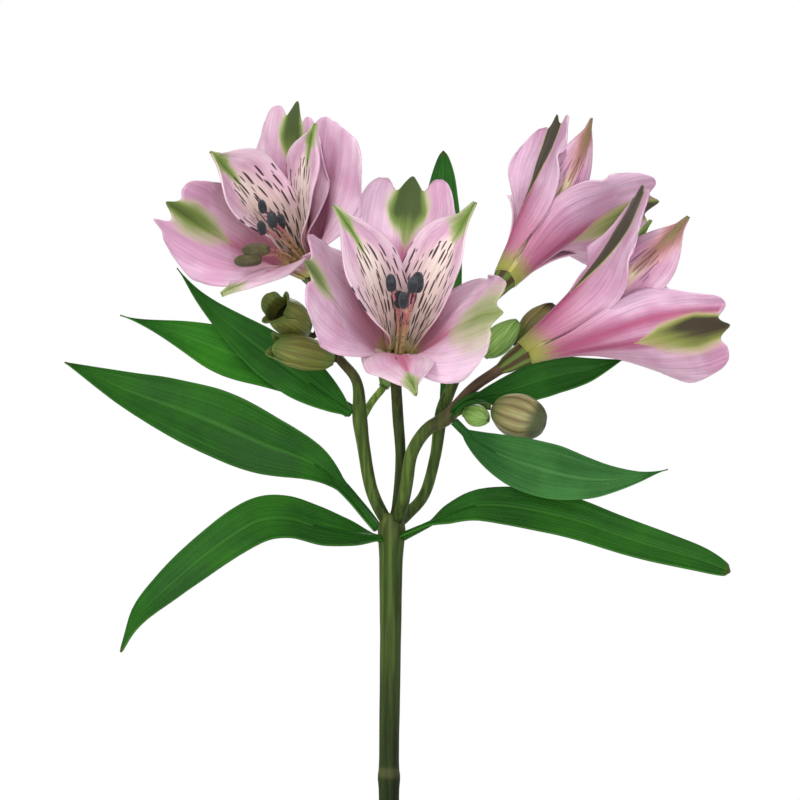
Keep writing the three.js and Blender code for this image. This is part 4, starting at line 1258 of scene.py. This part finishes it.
@dataclass
class Stem:
    """The stem with its nodes, the rays and twigs of the flower head, and the ovaries."""
    main: Branch = Branch(((0, 0, 55, 3.2), (0, 0, 100, 3), (0, 0, 140, 2.85), (0, 0, 160, 2.55),
                           (0, 0, 163, 2.6), (0, 0, 166, 2.85), (0, 0, 168, 2.6), (0, 0, 171, 2.5),
                           (0.4, 0, 202, 2.65), (0.5, 0, 222, 2.95), (0.7, 0, 230, 3.5), (1, 0, 234.5, 2.8)))
    rays: tuple[Branch, ...] = (
        Branch(((0.5, 0, 231, 1.6), (-1.8, 0, 234.5, 1.6), (-4.5, 1, 240.5, 1.6), (-6.5, 2, 251, 1.6),
                (-7.6, 2.2, 259, 1.9), (-8.5, 3, 269, 1.3), (-13.5, 5.5, 275.5, 1.2), (-18, 10.5, 284, 1.2)),
               (0, 1), "left"),
        Branch(((1, 0, 231, 1.5), (2, -0.8, 236, 1.3), (3, 0, 249, 1.3), (2.3, 0.8, 260, 1.4)), (0, 0.3),
               "middle", 0.6),
        Branch(((1.2, 0, 231, 1.6), (3, -3, 235, 1.6), (4.5, -5, 242, 1.6), (6, -6, 250.5, 1.6),
                (10, -7, 256.5, 1.6), (15, -7.6, 259.5, 1.9), (21.5, -8, 267, 1.3)), (0, 0.9), "right"),
        Branch(((1.2, 0, 231, 1.5), (5, 1.5, 234.5, 1.5), (9, 3, 239, 1.4), (12, 3, 249, 1.4),
                (14, 3, 261.5, 1.7), (18.5, 4, 272, 1.2), (23.5, 6, 283, 1.2)), (0, 0.5), "back"),
    )
    twigs: tuple[Branch, ...] = (
        # The hidden twig is lighter as painted light against the shade that it lies in.
        Branch(((-7.6, 2.2, 258.5, 1.2), (-4.5, 6, 263.5, 0.95), (-1.7, 8.8, 267, 0.95)), dark=-0.9),
        Branch(((-13.2, 5.4, 275, 0.9), (-13.6, 5, 274.8, 0.85), (-14, 4.6, 274.6, 0.9)), (0.5, 0.3)),
        Branch(((-18, 10.7, 283.8, 0.9), (-19.8, 10.7, 280.9, 0.8), (-21.2, 10.3, 281.4, 0.8)), (0.8, 0.6)),
        Branch(((23.6, 6, 283, 0.8), (30, 5.6, 279.2, 0.8), (33.4, 4, 279, 0.8)), (0.3, 0.6)),
        Branch(((22, 5, 280, 0.8), (22, 2.2, 276, 0.8), (24, 1, 275, 0.8)), (0.2, 0)),
        Branch(((15.5, -7.6, 259.8, 1), (22, -8.2, 262.4, 0.9), (26.2, -8.8, 262.3, 0.9)), (0.2, 0)),
        Branch(((15.2, -7.8, 259.4, 1), (19, -9.6, 261.2, 0.8), (19.2, -9.7, 261.1, 0.8))),
    )
    bractlets: tuple[Table, ...] = (
        ((15.4, -8.4, 260.4, 0.5), (18, -10.6, 263, 1.5), (21, -11.4, 265, 1.2), (24, -11.6, 266.4, 0.2)),
        ((15.8, -8.6, 259.2, 0.5), (19, -11.6, 262.6, 1.3), (22, -12.6, 263.6, 1), (25.5, -12.6, 263.6, 0.2)),
    )
    ovary_shape: Table = ((0, 0, 0, 1.5), (0, 0, 0.3, 2.3), (0, 0, 0.7, 2.8), (0, 0, 0.92, 3.2), (0, 0, 1, 3.3))
    gap: float = 0.3
    ovary_length: float = 8
    overlap: float = 1.2
    neck: float = 1.5
    length: float = 178
    scar: float = 111
    rib_depth: float = 0.035
    unevenness: float = 0.02
    blade_depth: float = 0.22

    def build(self, flowers: Sequence[Flower]) -> None:
        """Makes the stem's piece.

        Args:
            flowers: The flowers that the rays end under.
        """
        draft = Draft()
        draft.tube(self.main.route, 40, 150, self.main_marks, swell=self.ribs)
        seats = {flower.name: flower.axes for flower in flowers}
        for ray in self.rays:
            axes = seats[ray.flower]
            before = axes.at(0, 0, -self.gap - self.ovary_length - self.overlap)
            foot = axes.at(0, 0, -self.gap - self.ovary_length + self.overlap)
            draft.tube((*ray.route, (*before, self.neck * 0.9), (*foot, self.neck)), 18, 60, ray.marks, swell=self.ribs)
            self.ovary(draft, axes)
        for twig in self.twigs:
            draft.tube(twig.route, 12, 16, twig.marks)
        for bractlet in self.bractlets:
            draft.tube(bractlet, 16, 20, material=1, swell=self.flat)
        draft.piece("flower_stem", "stem", (Finish.STEM, Finish.LEAF))

    def flat(self, angle: float, _: float) -> float:
        """Flattens a stalk into a small blade, as a factor on its radius."""
        return math.hypot(math.sin(angle), self.blade_depth * math.cos(angle))

    def ribs(self, angle: float, share: float) -> float:
        """Gives the slight ribs of a stalk as a factor on its radius."""
        uneven = ripple(3, 30 * share, math.sin(angle), math.cos(angle))
        return 1 + self.rib_depth * math.cos(RIBS * angle) + self.unevenness * uneven

    def main_marks(self, u: float, v: float) -> Row:
        """Gives the painted fields of the main stem: browner at its top, with painted shade on its right and at its top
        where the rays fork, and a node's pale scar.
        """
        joint = 0.3 * smooth(self.length - 12, self.length - 5, v * self.length)
        dark = SIDE_PAINTED_SHADE * math.cos(math.pi * u) + FORK_PAINTED_SHADE * smooth(0.99, 1, v)
        return joint, 0, 0.3 * hump(v * self.length, self.scar, 1.1), dark

    def ovary(self, draft: Draft, axes: Axes) -> None:
        """Adds the ribbed ovary under a flower."""
        profile = Route(self.ovary_shape)

        def at(u: float, v: float) -> Vector:
            """Gives a place on the ovary's skin."""
            along = clamp((v - 0.04) / 0.92)
            radius = profile.at(along)[2] if 0 < v < 1 else 0
            radius *= 1 + 0.06 * math.cos(RIBS * math.pi * u) * math.sin(math.pi * along)
            return axes.around(u, radius, -self.gap - self.ovary_length * (1 - along))
        draft.sheet(60, 25, at, lambda u, v: (0, 1, 0, 0), welded=True)


# Buds

SEPALS, SEPAL_SPAN, SEPAL_THICKNESS = 3, math.radians(80), 0.28
LAP, KEEL = (0.1, 0.44), 0.22


@dataclass(frozen=True)
class Bud:
    """A bud: three sepals that overlap round a core.

    Args:
        node: The solid that it stands for.
        foot, tip: Its ends.
        radius: Its greatest radius.
        fullest: Where along it that is.
        finish: Its finish.
        stripes: How strongly it is striped.
        dark: How dark its tip is.
        green: How green its foot is.
        lips: How far its sepals' tips stand out.
        mouth: How wide it stands open at the tip, as a share of its radius.
        roll: The angle of its first sepal, in degrees.
        plump: How full its ends are, lower for fuller.
    """
    node: str
    foot: Place
    tip: Place
    radius: float
    fullest: float
    finish: Finish = Finish.OLIVE_BUD
    stripes: float = 0.5
    dark: float = 0.3
    green: float = 0.5
    lips: float = 0.4
    mouth: float = 0.0
    roll: float = 0.0
    plump: float = 0.65

    def girth(self, v: float) -> float:
        """Gives the radius at a share of the length."""
        eased = clamp(v) ** (math.log(0.5) / math.log(self.fullest))
        shaped = math.sin(math.pi * eased) ** self.plump if 0 < v < 1 else 0
        return max(self.radius * max(shaped, self.mouth * smooth(self.fullest, 1, v)), 0.9 if v < 0.5 else 0.3)

    def build(self) -> None:
        """Makes the bud's piece."""
        foot, tip = Vector(self.foot), Vector(self.tip)
        axis = (tip - foot).normalized()
        sides = square(axis)

        def place(share: float, angle: float, radius: float) -> Vector:
            """Gives a place round the bud's axis."""
            return foot.lerp(tip, share) + between(*sides, angle) * radius

        def core(u: float, v: float) -> Vector:
            """Gives a place on the core, which is sunk where the bud stands open."""
            sunk = 1 - 0.45 * self.mouth
            return place(0.97 * sunk * v, math.pi * u, 0.9 * self.girth(v * sunk) if 0 < v < 1 else 0)

        def core_marks(_: float, v: float) -> Row:
            """Gives the core's fields: painted shade within the mouth."""
            return self.stripes, self.dark, 0, smooth(0.5, 0.9, v) * min(self.mouth * 2, 1)

        def sepal(start: float) -> Surface:
            """Gives the surface of the sepal at an angle."""
            def at(u: float, v: float) -> Vector:
                """Gives a place on the sepal."""
                span = SEPAL_SPAN * (1 - 0.25 * smooth(0.6, 1, v))
                lap = mix(*LAP, smooth(-1, 1, u))
                keel = KEEL * hump(u, 0, 0.22) * math.sin(math.pi * v)
                v -= 0.2 * self.mouth * abs(u) ** 1.7 * smooth(0.5, 1, v)
                curl = self.lips * smooth(0.7, 1, v) ** 1.5 * (1 + 0.4 * ripple(start, 3 * u, 2 * v))
                radius = self.girth(v) * (1 + 0.02 * ripple(start, 5 * u, 4 * v)) + lap + keel + curl
                return place(v, start + span * u, radius)
            return at

        def sepal_marks(u: float, v: float) -> Row:
            """Gives a sepal's fields: stripes, dark tip and green foot."""
            line = 0.5 + 0.5 * math.cos(math.pi * 5 * u)
            return self.stripes * line, self.dark * smooth(0.6, 1, v), self.green * smooth(0.4, 0.05, v), 0

        draft = Draft()
        for k in range(SEPALS):
            start = math.radians(self.roll) + math.tau * k / SEPALS
            draft.sheet(20, 26, sepal(start), sepal_marks, thickness=SEPAL_THICKNESS)
        draft.sheet(36, 20, core, core_marks, welded=True)
        draft.piece(self.node, "bud", (self.finish,))


BUDS = (
    Bud("bud_left_closed", (-14.6, 4.3, 274.4), (-31, -1, 278.5), 4, 0.5, stripes=0.6, lips=0.6, mouth=0.6,
        dark=0.7, roll=20, plump=0.45),
    Bud("bud_left_open", (-21.6, 10.2, 281.9), (-30.4, 0.4, 288.8), 4.4, 0.5, stripes=0.4, dark=0.7, lips=1.3,
        mouth=0.8, roll=85, plump=0.5),
    Bud("bud_right_top", (34, 3.8, 279.6), (43.5, 7, 288.5), 3.4, 0.5, Finish.BROWN_BUD, dark=1, roll=40),
    Bud("bud_right_inner", (24.5, 0.9, 275.6), (33.5, 0, 284.5), 3.2, 0.45, Finish.GREEN_BUD, stripes=0.2,
        lips=0.2, roll=80),
    Bud("bud_right_round", (26.8, -9, 262), (40, -12.6, 257.5), 5.3, 0.52, Finish.STRAW_BUD, stripes=0.7, dark=1.35,
        lips=0, roll=10, plump=0.42),
    Bud("bud_right_small", (19.5, -10, 261), (25.5, -13, 259), 2.4, 0.5, Finish.GREEN_BUD, stripes=0.1,
        lips=0.2, roll=30),
    Bud("bud_hidden", (-1.3, 9.2, 267.5), (2.5, 14, 276.5), 2.6, 0.5, Finish.GREEN_BUD, stripes=0.3),
)


# The pot and its soil

@dataclass
class Pot:
    """A plain tapering terracotta pot with a band round its rim and drain holes in its floor."""
    height: float = 110
    foot: float = 45
    rim: float = 65
    wall: float = 5.5
    floor: float = 6
    band: float = 22
    step: float = 3
    lip: float = 1.5
    holes: int = 3
    hole_radius: float = 5
    hole_place: float = 22
    sides: int = 96
    edge: float = 0.9

    def profile(self) -> list[tuple[float, float]]:
        """Gives the wall's section as radii and heights, from the middle of the foot round to the floor."""
        low = self.height - self.band
        under = mix(self.foot, self.rim - self.step, low / self.height)
        inner_rim = self.rim - self.step - self.wall
        return [(0, 0), (self.foot - self.lip, 0), (self.foot, self.lip), (under, low), (under + self.step, low + 1),
                (self.rim, self.height - self.lip), (self.rim - self.lip, self.height),
                (inner_rim + self.lip, self.height), (inner_rim, self.height - self.lip),
                (self.foot - self.wall, self.floor), (0, self.floor)]

    def inside(self, height: float) -> float:
        """Gives the inner radius at a height."""
        share = (height - self.floor) / (self.height - self.lip - self.floor)
        return mix(self.foot - self.wall, self.rim - self.step - self.wall, share)

    def build(self) -> None:
        """Makes the pot's piece."""
        draft = Draft()
        mesh = draft.mesh
        verts = [mesh.verts.new((radius, 0, height)) for radius, height in self.profile()]
        edges = [mesh.edges.new(pair) for pair in zip(verts, verts[1:])]
        bmesh.ops.spin(mesh, geom=verts + edges, cent=(0, 0, 0), axis=(0, 0, 1), angle=math.tau,
                       steps=self.sides, use_merge=True)
        bmesh.ops.remove_doubles(mesh, verts=mesh.verts, dist=WELD)
        bmesh.ops.recalc_face_normals(mesh, faces=mesh.faces)
        made = draft.piece("pot", "pot", (Finish.CLAY,), "thrown")
        self.pierce(made)
        edge = made.modifiers.new("Edges", "BEVEL")
        edge.width, edge.segments, edge.limit_method = self.edge * MM, 3, "ANGLE"
        edge.angle_limit, edge.profile, edge.material = math.radians(25), 0.5, -1

    def pierce(self, piece: bpy.types.Object) -> None:
        """Cuts the drain holes through the floor."""
        drill = bmesh.new()
        for k in range(self.holes):
            turn = Matrix.Rotation(math.tau * k / self.holes, 4, "Z")
            place = turn @ Matrix.Translation((self.hole_place * MM, 0, self.floor / 2 * MM))
            bmesh.ops.create_cone(drill, cap_ends=True, segments=32, radius1=self.hole_radius * MM,
                                  radius2=self.hole_radius * MM, depth=3 * self.floor * MM, matrix=place)
        data = bake(drill, "drill")
        cutter = put("drill", data)
        cut = piece.modifiers.new("Holes", "BOOLEAN")
        cut.operation, cut.object, cut.solver = "DIFFERENCE", cutter, "EXACT"
        pierced = bpy.data.meshes.new_from_object(piece.evaluated_get(bpy.context.evaluated_depsgraph_get()))
        piece.modifiers.remove(cut)
        piece.data = pierced
        bpy.data.objects.remove(cutter)
        bpy.data.meshes.remove(data)


@dataclass
class Soil:
    """The soil that fills the pot: a crumbly crowned top with loose crumbs, bark and a few pale grains."""
    pot: Pot
    top: float = 98
    crown: float = 2
    relief: float = 1.1
    lump: float = 0.9
    grit: float = 0.5
    gap: float = 0.3
    crumbs: int = 900
    clear: float = 4.5
    rows: int = 60
    foot_rows: int = 3
    grain_every: int = 29
    bark_every: int = 13
    bark: Place = (2.4, 0.8, 0.35)

    @property
    def radius(self) -> float:
        """The radius of the top."""
        return self.pot.inside(self.top) - self.gap

    def level(self, x: float, y: float) -> float:
        """Gives the height of the top at a place."""
        share = min(math.hypot(x, y) / self.radius, 1)
        height = self.top + self.crown * (1 - share ** 2)
        height += self.relief * math.sin(0.21 * x + 1.3) * math.cos(0.26 * y - 0.4) * smooth(1, 0.9, share)
        return height + self.lump * ripple(1, x * 0.28, y * 0.28) + self.grit * ripple(2, x * 0.8, y * 0.8)

    def build(self) -> None:
        """Makes the soil's piece."""
        low = self.pot.floor + self.gap

        def at(u: float, v: float) -> Vector:
            """Gives a place on the soil's skin, from the middle of its foot up its side to the middle."""
            turn = between(Vector((1, 0, 0)), Vector((0, 1, 0)), math.pi * u)
            i = round(v * self.rows)
            if i <= self.foot_rows:
                return turn * ((self.pot.inside(low) - self.gap) * i / self.foot_rows) + UP * low
            spot = turn * (self.radius * (self.rows - i) / (self.rows - self.foot_rows - 1))
            return spot + UP * self.level(spot.x, spot.y)
        draft = Draft()
        draft.sheet(120, self.rows, at, welded=True)
        self.scatter(draft)
        draft.piece("soil", "soil", (Finish.EARTH,), "crumbly")

    def scatter(self, draft: Draft) -> None:
        """Strews crumbs over the top, but leaves the place round the stem clear."""
        dice = random.Random(7)
        for i in range(self.crumbs):
            distance, turn = self.radius * math.sqrt(dice.random()) * 0.97, dice.uniform(0, math.tau)
            if distance < self.clear:
                continue
            x, y = distance * math.cos(turn), distance * math.sin(turn)
            pale, bark = i % self.grain_every == 0, i % self.bark_every == 1
            size = dice.uniform(0.5, 1.5) ** 1.4
            shape = Vector((size, size * dice.uniform(0.6, 1), size * dice.uniform(0.4, 0.8)))
            if bark:
                shape = Vector([size * share for share in self.bark])
            spin = Quaternion(Vector([dice.uniform(-1, 1) * 0.5 for _ in range(2)] + [1]), turn * 3)
            where = Vector((x, y, self.level(x, y) + shape.z * 0.4))
            matrix = Matrix.Translation(where) @ spin.normalized().to_matrix().to_4x4() @ Matrix.Diagonal((*shape, 1))
            made = bmesh.ops.create_icosphere(draft.mesh, subdivisions=1, radius=1.0, matrix=matrix)
            light = dice.random()
            for vert in made["verts"]:
                vert.co += (vert.co - where) * 0.35 * ripple(i, *(vert.co - where))
                vert[draft.paint] = (light, float(pale), float(bark), 0)


# The studio

@dataclass
class Studio:
    """The floor, the soft lights, the white surroundings and the camera."""
    distance: float = 900
    aim: tuple[float, float] = (2.86, 264)
    seen: float = 208
    sensor: float = 36
    floor_radius: float = 1150
    ambient: float = 0.63
    lit: Place = (0, 0, 240)
    lights: tuple[tuple[str, Place, float, float, Rgb], ...] = (
        ("key", (-520, -760, 900), 420, 4.9, rgb(255, 252, 246)),
        ("fill", (160, -950, 330), 600, 4.0, rgb(250, 251, 255)),
        ("rim", (180, 760, 760), 420, 3.5, rgb(255, 255, 255)),
    )

    def build(self) -> None:
        """Makes everything round the plant."""
        self.camera()
        self.floor()
        self.surroundings()
        for light in self.lights:
            self.light(*light)

    def camera(self) -> None:
        """Makes the camera, level and straight in front, framed as the photograph is."""
        lens = bpy.data.cameras.new("camera")
        lens.sensor_width = self.sensor
        lens.lens = lens.sensor_width * self.distance / self.seen
        lens.clip_start = 0.01
        made = put("camera", lens)
        made.location = Vector((self.aim[0], -self.distance, self.aim[1])) * MM
        made.rotation_euler = (math.pi / 2, 0, 0)
        bpy.context.scene.camera = made

    def floor(self) -> None:
        """Makes the pale floor."""
        mesh = bmesh.new()
        bmesh.ops.create_circle(mesh, cap_ends=True, segments=128, radius=self.floor_radius * MM)
        data = bake(mesh, "floor")
        data.materials.append(Finish.PAPER.material())
        made = put("floor", data)
        made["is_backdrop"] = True

    def surroundings(self) -> None:
        """Makes the surroundings: plain white where they are seen, softer as light."""
        world = bpy.data.worlds.new("surroundings")
        world.use_nodes = True
        bpy.context.scene.world = world
        tree = world.node_tree
        ground = next(n for n in tree.nodes if n.type == "BACKGROUND")
        path = tree.nodes.new("ShaderNodeLightPath")
        strength = tree.nodes.new("ShaderNodeMapRange")
        strength.inputs["To Min"].default_value = self.ambient
        strength.inputs["To Max"].default_value = 1.0
        tree.links.new(path.outputs["Is Camera Ray"], strength.inputs["Value"])
        tree.links.new(strength.outputs[0], ground.inputs["Strength"])
        ground.inputs["Color"].default_value = (1, 1, 1, 1)
        bpy.context.scene.view_settings.view_transform = "Standard"

    def light(self, name: str, place: Place, size: float, power: float, colour: Rgb) -> None:
        """Makes a soft light that looks at the flowers.

        Args:
            name: Its name.
            place: Its place in millimetres.
            size: Its side in millimetres.
            power: Its power in watts.
            colour: Its colour.
        """
        lamp = bpy.data.lights.new(name, "AREA")
        lamp.shape, lamp.size, lamp.energy, lamp.color = "DISK", size * MM, power, colour
        made = put(name, lamp)
        made.location = Vector(place) * MM
        made.rotation_euler = (Vector(self.lit) - Vector(place)).to_track_quat("-Z", "Y").to_euler()


def main() -> None:
    """Builds the studio and the plant."""
    logging.basicConfig(level=logging.INFO, format="%(message)s")
    Studio().build()
    pot = Pot()
    pot.build()
    Soil(pot).build()
    Stem().build(FLOWERS)
    for part in (*LEAVES, *BUDS, *FLOWERS):
        part.build()
    boxes = {"solids": SOLID_BOX, "pieces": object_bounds()}
    json.dumps({key: [list(corner) for corner in box] for key, box in boxes.items()})


if __name__ == "__main__":
    main()
